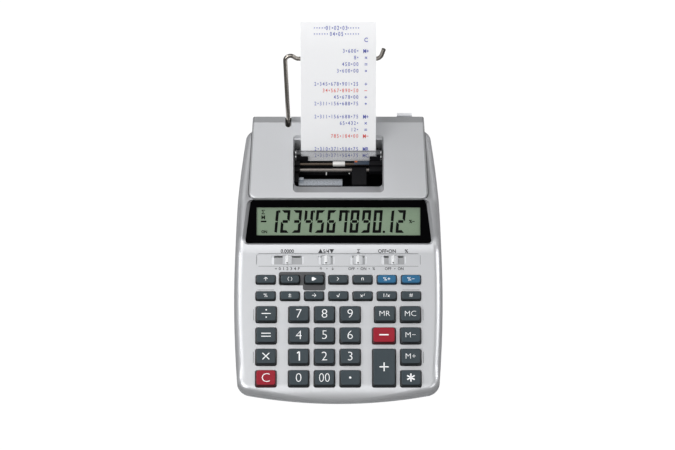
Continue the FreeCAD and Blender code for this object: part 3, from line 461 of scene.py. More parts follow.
def paper_white(name, colour):
    """Smooth paper with faint fibres."""
    finish = Finish(name)
    fibre = finish.noise(1500.0, 5.0, (1.0, 0.35, 0.35))
    cloud = finish.noise(60.0, 3.0)
    tone = finish.mix(fibre * 0.6 + cloud * 0.4, shade(colour, 0.97), shade(colour, 1.01))
    relief = finish.bump(fibre, 0.00001, 0.3)
    return finish.surface(Base_Color=tone, Roughness=0.75 + fibre * 0.1, Normal=relief)


def wound_paper(name, colour, centre):
    """The roll: close rings on its ends and faint edges of the turns round it."""
    finish = Finish(name)
    x, y, z = finish.axes()
    across = y - centre.y
    up = z - centre.z
    radius = (across * across + up * up).root()
    ring = (radius * 9000.0).sine() * 0.5 + 0.5
    fibre = finish.noise(900.0, 4.0)
    tone = finish.mix(ring * 0.6 + fibre * 0.4, shade(colour, 0.86), shade(colour, 1.0))
    return finish.surface(Base_Color=tone, Roughness=0.8, Normal=finish.bump(ring, 0.00003, 0.4))


def lcd_film(colour):
    """The grey-green film of the display, a little darker towards its edges."""
    finish = Finish("lcd_film")
    x = finish.axes()[0]
    fine = finish.noise(3000.0, 2.0)
    edge = abs(x) * 12.0
    tone = finish.mix(edge * edge * 0.35 + fine * 0.2, shade(colour, 1.05), shade(colour, 0.92))
    return finish.surface(Base_Color=tone, Roughness=0.35 + fine * 0.1)


def clear_plastic(name, colour, opacity, shine=0.5):
    """Clear plastic, slightly smoky, with fine scratches."""
    finish = Finish(name)
    scratch = finish.noise(500.0, 4.0, (1.0, 12.0, 12.0))
    tone = finish.mix(scratch, shade(colour, 0.95), shade(colour, 1.05))
    return finish.surface(Base_Color=tone, Roughness=0.08 + scratch * 0.1, Specular_IOR_Level=shine,
                          Alpha=opacity + scratch * 0.06)


def ink(name, colour, rough=0.5, shine=0.3):
    """Printed ink with slightly uneven cover."""
    finish = Finish(name)
    cover = finish.noise(2200.0, 3.0)
    tone = finish.mix(cover, shade(colour, 0.85), shade(colour, 1.2))
    return finish.surface(Base_Color=tone, Roughness=rough + cover * 0.1, Specular_IOR_Level=shine)


# Settings that a user would change

class CaseSettings(bpy.types.PropertyGroup):
    silver: bpy.props.FloatVectorProperty(name="Silver", description="Paint of the case and cover",
                                          subtype="COLOR", default=(0.66, 0.67, 0.69))
    patch: bpy.props.FloatVectorProperty(name="Patch", description="Printed patch on the deck",
                                         subtype="COLOR", default=(0.07, 0.071, 0.075))
    base: bpy.props.FloatVectorProperty(name="Base", description="Plastic of the lower case",
                                        subtype="COLOR", default=(0.35, 0.36, 0.375))
    marks: bpy.props.FloatVectorProperty(name="Marks", description="Ink of the marks on the deck",
                                         subtype="COLOR", default=(0.03, 0.03, 0.035))


class KeySettings(bpy.types.PropertyGroup):
    dark: bpy.props.FloatVectorProperty(name="Dark keys", description="Plastic of most keys",
                                        subtype="COLOR", default=(0.038, 0.052, 0.061))
    red: bpy.props.FloatVectorProperty(name="Red keys", description="Plastic of the clear and minus keys",
                                       subtype="COLOR", default=(0.285, 0.007, 0.02))
    blue: bpy.props.FloatVectorProperty(name="Blue keys", description="Plastic of the two percent keys",
                                        subtype="COLOR", default=(0.02, 0.12, 0.24))
    # Painted shade: a cap's sides take a darker copy of its plastic.
    side: bpy.props.FloatProperty(name="Sides", description="Tone of a cap's sides as a share of its top",
                                  default=0.22)
    legend: bpy.props.FloatVectorProperty(name="Legend", description="Ink of the key legends",
                                          subtype="COLOR", default=(0.90, 0.91, 0.92))
    edge: bpy.props.FloatProperty(name="Edge", description="Rounding of the cap's top edge",
                                  subtype="DISTANCE", unit="LENGTH", default=0.55 * MM)
    dish: bpy.props.FloatProperty(name="Dish", description="Depth of the hollow in a cap", subtype="DISTANCE",
                                  unit="LENGTH", default=0.18 * MM)


class DisplaySettings(bpy.types.PropertyGroup):
    film: bpy.props.FloatVectorProperty(name="Film", description="Lit background of the display",
                                        subtype="COLOR", default=(0.195, 0.275, 0.182))
    segment: bpy.props.FloatVectorProperty(name="Segments", description="Dark display segments",
                                           subtype="COLOR", default=(0.002, 0.002, 0.002))
    border: bpy.props.FloatVectorProperty(name="Border", description="Gloss border of the display",
                                          subtype="COLOR", default=(0.0012, 0.0012, 0.0015))
    number: bpy.props.StringProperty(name="Number", description="Digits on the display",
                                     default="1234567890.12")
    slant: bpy.props.FloatProperty(name="Slant", description="Lean of the digits", subtype="ANGLE",
                                   default=math.radians(5.0))


class PaperSettings(bpy.types.PropertyGroup):
    white: bpy.props.FloatVectorProperty(name="Paper", description="Colour of the paper", subtype="COLOR",
                                         default=(0.955, 0.96, 0.975))
    blue: bpy.props.FloatVectorProperty(name="Blue ink", description="Ink of most printed lines",
                                        subtype="COLOR", default=(0.075, 0.10, 0.46))
    red: bpy.props.FloatVectorProperty(name="Red ink", description="Ink of the negative lines",
                                       subtype="COLOR", default=(0.75, 0.08, 0.06))
    line_pitch: bpy.props.FloatProperty(name="Line pitch", description="Distance between printed lines",
                                        subtype="DISTANCE", unit="LENGTH", default=5.73 * MM)


class StageSettings(bpy.types.PropertyGroup):
    elevation: bpy.props.FloatProperty(name="Elevation", description="Camera height above the horizon",
                                       subtype="ANGLE", default=math.radians(61.0))
    distance: bpy.props.FloatProperty(name="Distance", description="Camera distance from its target",
                                      subtype="DISTANCE", unit="LENGTH", default=3.06)
    lens: bpy.props.FloatProperty(name="Lens", description="Focal length on a 36 mm sensor", default=216.9)
    lamp: bpy.props.FloatProperty(name="Lamp", description="Power of the lamps, before each one's share",
                                  subtype="POWER", default=13.0)
    room: bpy.props.FloatProperty(name="Room", description="Strength of the light from all round",
                                  default=0.18)


SETTINGS = (
    ("calculator_body", CaseSettings),
    ("calculator_keys", KeySettings),
    ("calculator_display", DisplaySettings),
    ("calculator_paper", PaperSettings),
    ("calculator_stage", StageSettings),
)


# Mesh helpers

def boxed(bm, low, high, place=Matrix.Identity(4)):
    """A box between two corners in millimetres of a local frame."""
    middle = [(a + b) / 2 * MM for a, b in zip(low, high)]
    size = [abs(b - a) * MM for a, b in zip(low, high)]
    matrix = place @ Matrix.Translation(middle) @ Matrix.Diagonal((*size, 1))
    return bmesh.ops.create_cube(bm, size=1.0, matrix=matrix)["verts"]


def edges_of(verts):
    return list({edge for vert in verts for edge in vert.link_edges})


def soften(bm, edges, offset, segments=3):
    return bmesh.ops.bevel(bm, geom=edges, offset=offset, offset_type="OFFSET", affect="EDGES",
                           segments=segments, profile=0.5, material=-1, clamp_overlap=True)


def rounded_box(bm, low, high, edge, place=Matrix.Identity(4), segments=3):
    """A box in millimetres with every edge rounded."""
    verts = boxed(bm, low, high, place)
    soften(bm, edges_of(verts), edge * MM, segments)


def lettering(bm, text, size, place, thickness=0.03, align="CENTER", weight=0.0, width=1.0, spacing=1.0):
    """Flat raised letters on a local frame, sized in millimetres, with width and spacing as shares."""
    curve = bpy.data.curves.new("lettering", "FONT")
    curve.body = text
    curve.size = size
    curve.extrude = thickness
    curve.offset = weight
    curve.space_character = spacing
    curve.align_x = align
    curve.align_y = "CENTER"
    curve.resolution_u = 3
    holder = bpy.data.objects.new("lettering", curve)
    mesh = bpy.data.meshes.new_from_object(holder)
    if align == "CENTER":
        corners = [vert.co for vert in mesh.vertices]
        middle = [(min(c[axis] for c in corners) + max(c[axis] for c in corners)) / 2 for axis in (0, 1)]
        mesh.transform(Matrix.Translation((-middle[0], -middle[1], 0)))
    mesh.transform(place @ Matrix.Diagonal((MM * width, MM, MM, 1)))
    bm.from_mesh(mesh)
    bpy.data.objects.remove(holder)
    bpy.data.curves.remove(curve)
    bpy.data.meshes.remove(mesh)


def corner(x, y, z):
    """A corner in millimetres of the object's own frame, from a place in front-edge millimetres."""
    return tuple(at(x, y, z) / MM)


def spot(place, x, y, z):
    """A local frame moved by millimetres within another."""
    return place @ Matrix.Translation((x * MM, y * MM, z * MM))


def stroke(bm, x, y, length, width, degrees, place, thickness=0.06):
    """One straight stroke of a symbol, centred on a place in a local frame."""
    turned = spot(place, x, y, 0) @ Matrix.Rotation(math.radians(degrees), 4, "Z")
    boxed(bm, (-length / 2, -width / 2, -thickness / 2), (length / 2, width / 2, thickness / 2), turned)


def dot(bm, x, y, radius, place, thickness=0.06):
    """A round dot of a symbol."""
    bmesh.ops.create_cone(bm, cap_ends=True, segments=20, radius1=radius * MM, radius2=radius * MM,
                          depth=thickness * MM, matrix=spot(place, x, y, 0))


def drape(bm, node, place):
    """Move flat marks on to a node of the frame, along the normal of the local frame they were made in."""
    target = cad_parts[node]
    to_node = target.matrix_world.inverted()
    to_frame = place.inverted()
    normal = (place.to_3x3() @ Vector((0, 0, 1))).normalized()
    for vert in bm.verts:
        above = vert.co + normal * 10 * MM
        found, where, _, _ = target.ray_cast(to_node @ above, to_node.to_3x3() @ -normal)
        if found:
            vert.co = target.matrix_world @ where + normal * (to_frame @ vert.co).z


def piece(name, bm, finish, body, stands_for=(), angle=35.0):
    """Make an object of a bmesh, and let it ride on a body of the frame."""
    mesh = bpy.data.meshes.new(name)
    bm.to_mesh(mesh)
    bm.free()
    mesh.polygons.foreach_set("use_smooth", [True] * len(mesh.polygons))
    mesh.set_sharp_from_angle(angle=math.radians(angle))
    for material in finish if isinstance(finish, (list, tuple)) else [finish]:
        mesh.materials.append(material)
    made = bpy.data.objects.new(name, mesh)
    bpy.context.collection.objects.link(made)
    if body:
        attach(made, body)
    if stands_for:
        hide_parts(*stands_for)
    return made


def paint(node, material):
    """Give a node of the frame its finish."""
    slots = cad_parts[node].data.materials
    slots.clear()
    slots.append(material)


# Keys

def key_table():
    """Node, legend, place on the deck and size of every key."""
    keys = []
    for row, names in zip(FUNCTION_ROWS, FUNCTION_KEYS):
        for index, (node, legend) in enumerate(names):
            x = (index - (len(names) - 1) / 2) * SMALL_PITCH
            keys.append((node, legend, x, row, SMALL_KEY_SIZE))
    for x, names in MAIN_BLOCK:
        for index, (node, legend) in enumerate(names):
            keys.append((node, legend, x, FIRST_ROW + index * ROW_PITCH, KEY_SIZE))
    width, depth, height = KEY_SIZE
    x, wide = WIDE_KEY
    keys.append(("key_plus", "+", x, FIRST_ROW + ROW_PITCH / 2, (wide, depth + ROW_PITCH, height)))
    keys.append(("key_minus", "−", x, FIRST_ROW + 2 * ROW_PITCH, (wide, depth, height)))
    x, wide = MEMORY_KEY
    keys.append(("key_memory_total", "MR", x, FIRST_ROW + 3 * ROW_PITCH, (wide, depth, height)))
    return keys


# Stroke width, strokes (x, y, length, degrees) and dots (x, y, radius) of symbols, in millimetres
SYMBOLS = {
    "+": (0.85, ((0, 0, 6.8, 0), (0, 0, 6.8, 90)), ()),
    "−": (0.95, ((0, 0, 7.0, 0),), ()),
    "=": (0.65, ((0, 1.2, 7.0, 0), (0, -1.2, 7.0, 0)), ()),
    "×": (0.7, ((0, 0, 7.2, 45), (0, 0, 7.2, -45)), ()),
    "÷": (0.65, ((0, 0, 7.0, 0),), ((0, 2.9, 0.55), (0, -2.9, 0.55))),
    "∗": (1.0, ((0, 0, 6.4, 90), (0, 0, 6.4, 30), (0, 0, 6.4, -30)), ()),
    "1": (0.95, ((0.5, 0, 7.2, 90), (-0.35, 2.95, 2.1, 35)), ()),
    "•": (0.0, (), ((0, 0, 0.85),)),
}


def legend_mark(legend, small, place):
    """The legend of one key."""
    bm = bmesh.new()
    if legend in SYMBOLS and not small:
        width, strokes, dots = SYMBOLS[legend]
        for x, y, length, degrees in strokes:
            stroke(bm, x, y, length, width, degrees, place)
        for x, y, radius in dots:
            dot(bm, x, y, radius, place)
    elif small:
        lettering(bm, legend, 4.8, place, weight=-0.02, width=0.95)
    elif legend.startswith("M"):
        lettering(bm, legend, 6.2, place, weight=-0.1)
    else:
        lettering(bm, legend, 10.2, place, weight=-0.18, width=0.85 if len(legend) > 1 else 1.0)
    return bm


def key_cap(size, edge, dish):
    """A rounded cap with sloping sides and a shallow hollow in its top."""
    width, depth, height = size
    skirt, foot, slope, corner, border = 3.4, 0.3, 0.6, 2.0, 1.5
    bm = bmesh.new()
    boxed(bm, (-width / 2, -depth / 2, -skirt), (width / 2, depth / 2, height))
    uprights = [e for e in bm.edges if abs(e.verts[0].co.z - e.verts[1].co.z) > MM]
    soften(bm, uprights, corner * MM, 4)
    whole = bm.verts[:] + bm.edges[:] + bm.faces[:]
    bmesh.ops.bisect_plane(bm, geom=whole, plane_co=(0, 0, foot * MM), plane_no=(0, 0, 1))
    top = [v for v in bm.verts if v.co.z > height / 2 * MM]
    bmesh.ops.scale(bm, verts=top, vec=(1 - 2 * slope / width, 1 - 2 * slope / depth, 1))
    rim = [e for e in bm.edges if all(v.co.z > height / 2 * MM for v in e.verts)]
    soften(bm, rim, edge, 3)
    crown = max(bm.faces, key=lambda f: f.calc_center_median().z)
    for fall in (dish, dish / 3):
        crown = bmesh.ops.extrude_discrete_faces(bm, faces=[crown])["faces"][0]
        shrink = (1 - 2 * border / width, 1 - 2 * border / depth, 1)
        bmesh.ops.scale(bm, verts=crown.verts, vec=shrink)
        bmesh.ops.translate(bm, verts=crown.verts, vec=(0, 0, -fall))
    bm.normal_update()
    # Painted shade: faces that are not near flat take the second, darker material.
    for face in bm.faces:
        face.material_index = 1 if face.normal.z < 0.8 else 0
    return bm


class CALC_OT_keys(bpy.types.Operator):
    """Make the key caps and their legends"""
    bl_idname = "calculator.keys"
    bl_label = "Keys"

    def execute(self, context):
        look = context.scene.calculator_keys
        finishes = {}
        for slot, colour in (("key_dark", look.dark), ("key_red", look.red), ("key_blue", look.blue)):
            top = moulded_plastic(slot, colour, 2200.0, 0.45, 0.3)
            # A darker copy of each plastic for the caps' sides, as painted shade.
            side = moulded_plastic(slot + "_side", shade(colour, look.side), 2200.0, 0.36, 0.35)
            finishes[slot] = (top, side)
        legend_ink = ink("legend_ink", look.legend)
        for node, legend, x, y, size in key_table():
            slot = "key_red" if node in RED_KEYS else "key_blue" if node in BLUE_KEYS else "key_dark"
            cap = key_cap(size, look.edge, look.dish)
            bmesh.ops.transform(cap, matrix=spot(DECK, x, y, 0), verts=cap.verts)
            piece(node + "_cap", cap, finishes[slot], node, [node])
            level = size[2] - look.dish * 1.33 / MM
            mark = legend_mark(legend, size[2] < KEY_SIZE[2], spot(DECK, x, y, level + 0.02))
            piece(node + "_legend", mark, legend_ink, node)
        return {"FINISHED"}


# Display

def display_outline(half_bottom, half_top, low, high):
    return [(-half_bottom, low), (half_bottom, low), (half_top, high), (-half_top, high)]


def rounded_plate(points, corner, low, high, place):
    """A plate with rounded corners between two levels of a local frame, in millimetres."""
    bm = bmesh.new()
    verts = [bm.verts.new((x * MM, y * MM, low * MM)) for x, y in points]
    bm.faces.new(verts)
    bmesh.ops.bevel(bm, geom=bm.verts[:], offset=corner * MM, offset_type="OFFSET", affect="VERTICES",
                    segments=6, profile=0.5, material=-1)
    top = bmesh.ops.extrude_face_region(bm, geom=bm.faces[:])
    moved = [item for item in top["geom"] if isinstance(item, bmesh.types.BMVert)]
    bmesh.ops.translate(bm, verts=moved, vec=(0, 0, (high - low) * MM))
    bmesh.ops.recalc_face_normals(bm, faces=bm.faces[:])
    bmesh.ops.transform(bm, matrix=place, verts=bm.verts[:])
    return bm


def pierce(bm, low, high, place):
    """Cut a square opening through a plate, between two corners in its local frame."""
    cuts = (((low[0], 0), (1, 0)), ((high[0], 0), (1, 0)), ((0, low[1]), (0, 1)), ((0, high[1]), (0, 1)))
    turn = place.to_3x3()
    for (x, y), (across, along) in cuts:
        geometry = bm.verts[:] + bm.edges[:] + bm.faces[:]
        bmesh.ops.bisect_plane(bm, geom=geometry, plane_co=place @ Vector((x * MM, y * MM, 0)),
                               plane_no=turn @ Vector((across, along, 0)))
    back = place.inverted()
    inside = []
    for face in bm.faces:
        middle = back @ face.calc_center_median() / MM
        flat = abs((turn.inverted() @ face.normal).z) > 0.9
        if flat and low[0] < middle.x < high[0] and low[1] < middle.y < high[1]:
            inside.append(face)
    bmesh.ops.delete(bm, geom=inside, context="FACES")
    open_edges = [edge for edge in bm.edges if len(edge.link_faces) == 1]
    bmesh.ops.bridge_loops(bm, edges=open_edges)


SEGMENTS = {
    "0": "abcdef", "1": "bc", "2": "abged", "3": "abgcd", "4": "fgbc",
    "5": "afgcd", "6": "afgecd", "7": "fabc", "8": "abcdefg", "9": "abcdfg",
}


def bar_segment(bm, length, thickness, cuts, place):
    """A display segment lying along X under its outer edge, with its ends cut back on the inner side."""
    verts = bmesh.ops.create_grid(bm, x_segments=1, y_segments=1, size=0.5)["verts"]
    for vert in verts:
        end = 1 if vert.co.x > 0 else 0
        inner = vert.co.y < 0
        reach = length / 2 - (cuts[end] if inner else 0)
        vert.co.x = math.copysign(reach * MM, vert.co.x)
        vert.co.y = -thickness * MM if inner else 0
    bmesh.ops.transform(bm, matrix=place, verts=verts)


def middle_segment(bm, length, thickness, place):
    """The middle display segment, pointed at both ends."""
    verts = bmesh.ops.create_circle(bm, cap_ends=True, segments=6, radius=1.0)["verts"]
    for vert in verts:
        tip = abs(vert.co.x) > 0.9
        reach = length / 2 if tip else (length - 0.8 * thickness) / 2
        vert.co.x = math.copysign(reach * MM, vert.co.x)
        vert.co.y = 0 if tip else math.copysign(thickness / 2 * MM, vert.co.y)
    bmesh.ops.transform(bm, matrix=place, verts=verts)


def digit(bm, character, width, height, thickness, place):
    """A seven-segment figure within a width and height, with segments cut back where they meet."""
    gap = 0.16
    lit = SEGMENTS[character]
    corner_cut = 0.9 * thickness
    top = corner_cut if "a" in lit else 0.3 * thickness
    bottom = corner_cut if "d" in lit else 0.3 * thickness
    middle_cut = (0.9 if "g" in lit else 0.2) * thickness
    level, tall = width - gap, height / 2 - gap
    spots = {
        "a": (0, height / 2, 0, level, (corner_cut, corner_cut)),
        "d": (0, -height / 2, 180, level, (corner_cut, corner_cut)),
        "b": (width / 2, height / 4, -90, tall, (top, middle_cut)),
        "c": (width / 2, -height / 4, -90, tall, (middle_cut, bottom)),
        "f": (-width / 2, height / 4, 90, tall, (middle_cut, top)),
        "e": (-width / 2, -height / 4, 90, tall, (bottom, middle_cut)),
    }
    for name in lit:
        if name == "g":
            middle_segment(bm, width - 0.4 * thickness, thickness, place)
            continue
        x, y, turn, length, cuts = spots[name]
        turned = spot(place, x, y, 0) @ Matrix.Rotation(math.radians(turn), 4, "Z")
        bar_segment(bm, length, thickness, cuts, turned)


class CALC_OT_display(bpy.types.Operator):
    """Make the display's border, pane, film and figures"""
    bl_idname = "calculator.display"
    bl_label = "Display"

    def execute(self, context):
        look = context.scene.calculator_display
        low, high = (-61.7, 5.8), (61.7, 26.9)
        border = rounded_plate(display_outline(70.2, 65.9, 0, 32.6), 2.4, -1.8, 0, DISPLAY)
        pierce(border, low, high, DISPLAY)
        gloss = gloss_plastic("border_gloss", look.border, 0.3, 0.01)
        piece("display_border", border, gloss, "case", ["display_window"])
        film = bmesh.new()
        boxed(film, (low[0] + 0.05, low[1] + 0.05, -1.75), (high[0] - 0.05, high[1] - 0.05, -1.1), DISPLAY)
        piece("display_film", film, lcd_film(look.film), "case")
        pane = bmesh.new()
        boxed(pane, (low[0] + 0.1, low[1] + 0.1, -0.5), (high[0] - 0.1, high[1] - 0.1, -0.1), DISPLAY)
        clear = clear_plastic("pane_clear", (0.01, 0.01, 0.01), 0.0, 0.1)
        piece("display_pane", pane, clear, "case")
        figures = bmesh.new()
        lean = Matrix.Identity(4)
        lean[0][1] = math.tan(look.slant)
        pitch, first, middle, level = 8.70, -48.7, 16.3, -1.06
        column = 0
        for character in look.number:
            if character == ".":
                place = spot(DISPLAY, 0, 0, level)
                dot(figures, first + (column - 0.46) * pitch, middle - 7.8, 0.95, place, 0.04)
                continue
            place = spot(DISPLAY, first + column * pitch, middle, level) @ lean
            digit(figures, character, 6.5, 17.2, 2.1, place)
            column += 1
        for mark in (0, 3, 6):
            x = first + (mark + 0.52) * pitch
            boxed(figures, (x - 0.5, middle + 6.6, level - 0.02),
                  (x + 0.5, middle + 8.4, level + 0.02), DISPLAY)
        for text, size, x, y in (("Σ", 4.2, -56.6, 23.4), ("M", 4.0, -56.6, 19.4), ("ON", 2.8, -55.8, 8.6),
                                 ("%−", 3.4, 55.4, 16.3)):
            lettering(figures, text, size, spot(DISPLAY, x, y, level), 0.02, weight=0.12)
        boxed(figures, (-58.4, 15.7, level - 0.02), (-54.2, 16.9, level + 0.02), DISPLAY)
        piece("display_figures", figures, ink("segment_ink", look.segment, 0.5, 0.05), "case")
        return {"FINISHED"}


# Marks printed on the deck

class CALC_OT_marks(bpy.types.Operator):
    """Print the plain marks on the deck"""
    bl_idname = "calculator.marks"
    bl_label = "Deck marks"

    def execute(self, context):
        look = context.scene.calculator_body
        bm = bmesh.new()
        rear, front = 117.0, 102.9
        for x, text in ((-38.4, "0.0000"), (-9.2, "▲5/4▼"), (15.2, "Σ"), (36.6, "OFF•ON"), (51.2, "%")):
            lettering(bm, text, 4.0, spot(DECK, x, rear, 0.03), weight=0.08, width=0.92)
        for index, text in enumerate("+01234F"):
            lettering(bm, text, 3.3, spot(DECK, -46.85 + index * 2.86, front, 0.03), weight=0.04)
        for x, text in ((-13.0, "↑"), (-8.6, "•"), (-4.2, "↓"), (9.9, "OFF"), (14.6, "•"),
                        (18.8, "ON"), (23.2, "•"), (26.6, "%"), (37.4, "OFF"), (42.4, "•"), (46.8, "ON")):
            lettering(bm, text, 3.1, spot(DECK, x, front, 0.03), weight=0.04, width=0.92)
        self.lines(bm)
        drape(bm, "upper_case", DECK)
        piece("deck_marks", bm, ink("mark_ink", look.marks), "case")
        hands = ink("pointer_ink", look.marks)
        for node, x, _ in SWITCHES:
            pointer = bmesh.new()
            boxed(pointer, (x - 0.6, SWITCH_ROW - 3.0, 0.7), (x + 0.6, SWITCH_ROW - 2.2, 0.8), DECK)
            piece(node + "_pointer", pointer, hands, node)
        return {"FINISHED"}

    def lines(self, bm):
        """Thin lines round the switch strip and brackets beside some of the keys."""
        wide, deep = SWITCH_STRIP
        top, bottom = SWITCH_ROW + deep / 2 + 0.25, SWITCH_ROW - deep / 2 - 0.25
        ground = spot(DECK, 0, 0, 0.03)
        for y in (top, bottom):
            stroke(bm, 0, y, wide - 2.4, 0.22, 0, ground, 0.02)
        bracket = FUNCTION_ROWS[1] + SMALL_KEY_SIZE[1] / 2 + 1.4
        for side in (-1, 1):
            stroke(bm, side * (wide / 2 + 0.25), SWITCH_ROW, deep - 2.4, 0.22, 90, ground, 0.02)
            stroke(bm, side * 3 * SMALL_PITCH, bracket, 12.6, 0.25, 0, ground, 0.02)
        for row in (1, 3):
            stroke(bm, -63.3, FIRST_ROW + row * ROW_PITCH, 9.0, 0.25, 90, ground, 0.02)
            stroke(bm, 63.3, FIRST_ROW + row * ROW_PITCH, 9.0, 0.25, 90, ground, 0.02)


# Case and other nodes of the frame

class CALC_OT_case(bpy.types.Operator):
    """Give the case, cover, feet and inner nodes their finishes"""
    bl_idname = "calculator.body"
    bl_label = "Case"

    def execute(self, context):
        look = context.scene.calculator_body
        paint("upper_case", case_paint(look.silver, look.patch))
        paint("printer_cover", cover_paint(look.silver))
        base = moulded_plastic("base_plastic", look.base, 1500.0, 0.55)
        paint("lower_case", base)
        paint("battery_cover", base)
        paint("rubber_feet", rubber("foot_rubber", (0.03, 0.03, 0.03)))
        paint("case_screws", metal("screw_steel", (0.55, 0.56, 0.58), 0.35))
        paint("main_board", moulded_plastic("board_green", (0.05, 0.16, 0.07), 900.0, 0.4))
        paint("key_mat", rubber("mat_rubber", (0.45, 0.46, 0.47)))
        paint("battery_cells", gloss_plastic("cell_sleeve", (0.10, 0.11, 0.13), 0.25))
        paint("lcd_panel", gloss_plastic("lcd_back", (0.25, 0.28, 0.25), 0.3))
        switch = slider_plastic("switch_plastic", (0.46, 0.47, 0.49), (0.74, 0.75, 0.76))
        for node, _, _ in SWITCHES:
            paint(node, switch)
        return {"FINISHED"}


# Print mechanism

class CALC_OT_mechanism(bpy.types.Operator):
    """Finish the print mechanism and add its small pieces"""
    bl_idname = "calculator.mechanism"
    bl_label = "Print mechanism"

    def execute(self, context):
        black = moulded_plastic("mechanism_black", (0.005, 0.005, 0.006), 1500.0, 0.5, 0.12)
        paint("printer_frame", black)
        paint("print_carriage", black)
        paint("carriage_rods", rods_metal((0.50, 0.54, 0.59), (0.31, 0.285, 0.265), (0.125, 0.095, 0.07)))
        paint("feed_roller", rubber("roller_rubber", (0.03, 0.03, 0.03)))
        self.cam_block()
        self.cassette()
        self.bar_ends(black)
        self.guide_marks()
        return {"FINISHED"}

    def cam_block(self):
        """The white block on the thin rod."""
        bm = bmesh.new()
        rounded_box(bm, corner(-4.2, 181.7, 41.0), corner(5.0, 184.6, 44.0), 0.4)
        nylon = moulded_plastic("nylon_white", (0.75, 0.74, 0.72), 1500.0, 0.4)
        piece("cam_block", bm, nylon, "case")

    def cassette(self):
        """The ink cassette's dark blue lid over the thin rod, with an orange tab on it."""
        bm = bmesh.new()
        rounded_box(bm, corner(11.9, 181.6, 43.5), corner(23.3, 184.8, 44.4), 0.3)
        gloss = gloss_plastic("cassette_blue", (0.03, 0.045, 0.07), 0.3)
        piece("ink_cassette", bm, gloss, "case")
        bm = bmesh.new()
        rounded_box(bm, corner(12.4, 183.4, 44.38), corner(14.4, 184.7, 44.8), 0.15)
        orange = moulded_plastic("tab_orange", (0.55, 0.12, 0.02), 1500.0, 0.4)
        piece("cassette_tab", bm, orange, "case")

    def bar_ends(self, black):
        """Black brackets over the tear bar's lower corners, its end caps painted white as highlights, and a
        dark line of painted shade along its top edge.
        """
        bm = bmesh.new()
        for left, right in ((-31.7, -22.9), (23.6, 31.7)):
            rounded_box(bm, (left, -8.4, 1.8), (right, -4.4, 2.2), 0.12, STRIP, 2)
        for left, right in ((-31.7, -28.3), (28.9, 31.7)):
            rounded_box(bm, (left, -4.6, 1.8), (right, -2.7, 2.2), 0.12, STRIP, 2)
        piece("bar_brackets", bm, black, "case")
        # The end caps are painted white as highlights at the bar's ends.
        bm = bmesh.new()
        for side in (-1, 1):
            for low in (-1.6, -5.4):
                ends = sorted((side * 31.85, side * 32.55))
                rounded_box(bm, (ends[0], low, 1.8), (ends[1], low + 1.5, 2.3), 0.15, STRIP, 2)
        piece("bar_caps", bm, gloss_plastic("cap_white", (0.8, 0.81, 0.82), 0.2), "case")
        # A dark line along the bar's top edge, painted as the shade of that edge.
        bm = bmesh.new()
        boxed(bm, (-32.5, -0.45, 1.8), (32.5, -0.1, 1.84), STRIP)
        piece("bar_line", bm, ink("line_grey", (0.04, 0.04, 0.045)), "case")

    def guide_marks(self):
        """A white pin and stud on the front guide."""
        bm = bmesh.new()
        boxed(bm, (-9.5, -21.4, 1.4), (-8.7, -18.6, 1.55), STRIP)
        dot(bm, 8.3, -20.0, 0.6, spot(STRIP, 0, 0, 1.45), 0.2)
        white = moulded_plastic("stud_white", (0.8, 0.8, 0.79), 1500.0, 0.4)
        piece("guide_marks", bm, white, "case")


# Paper

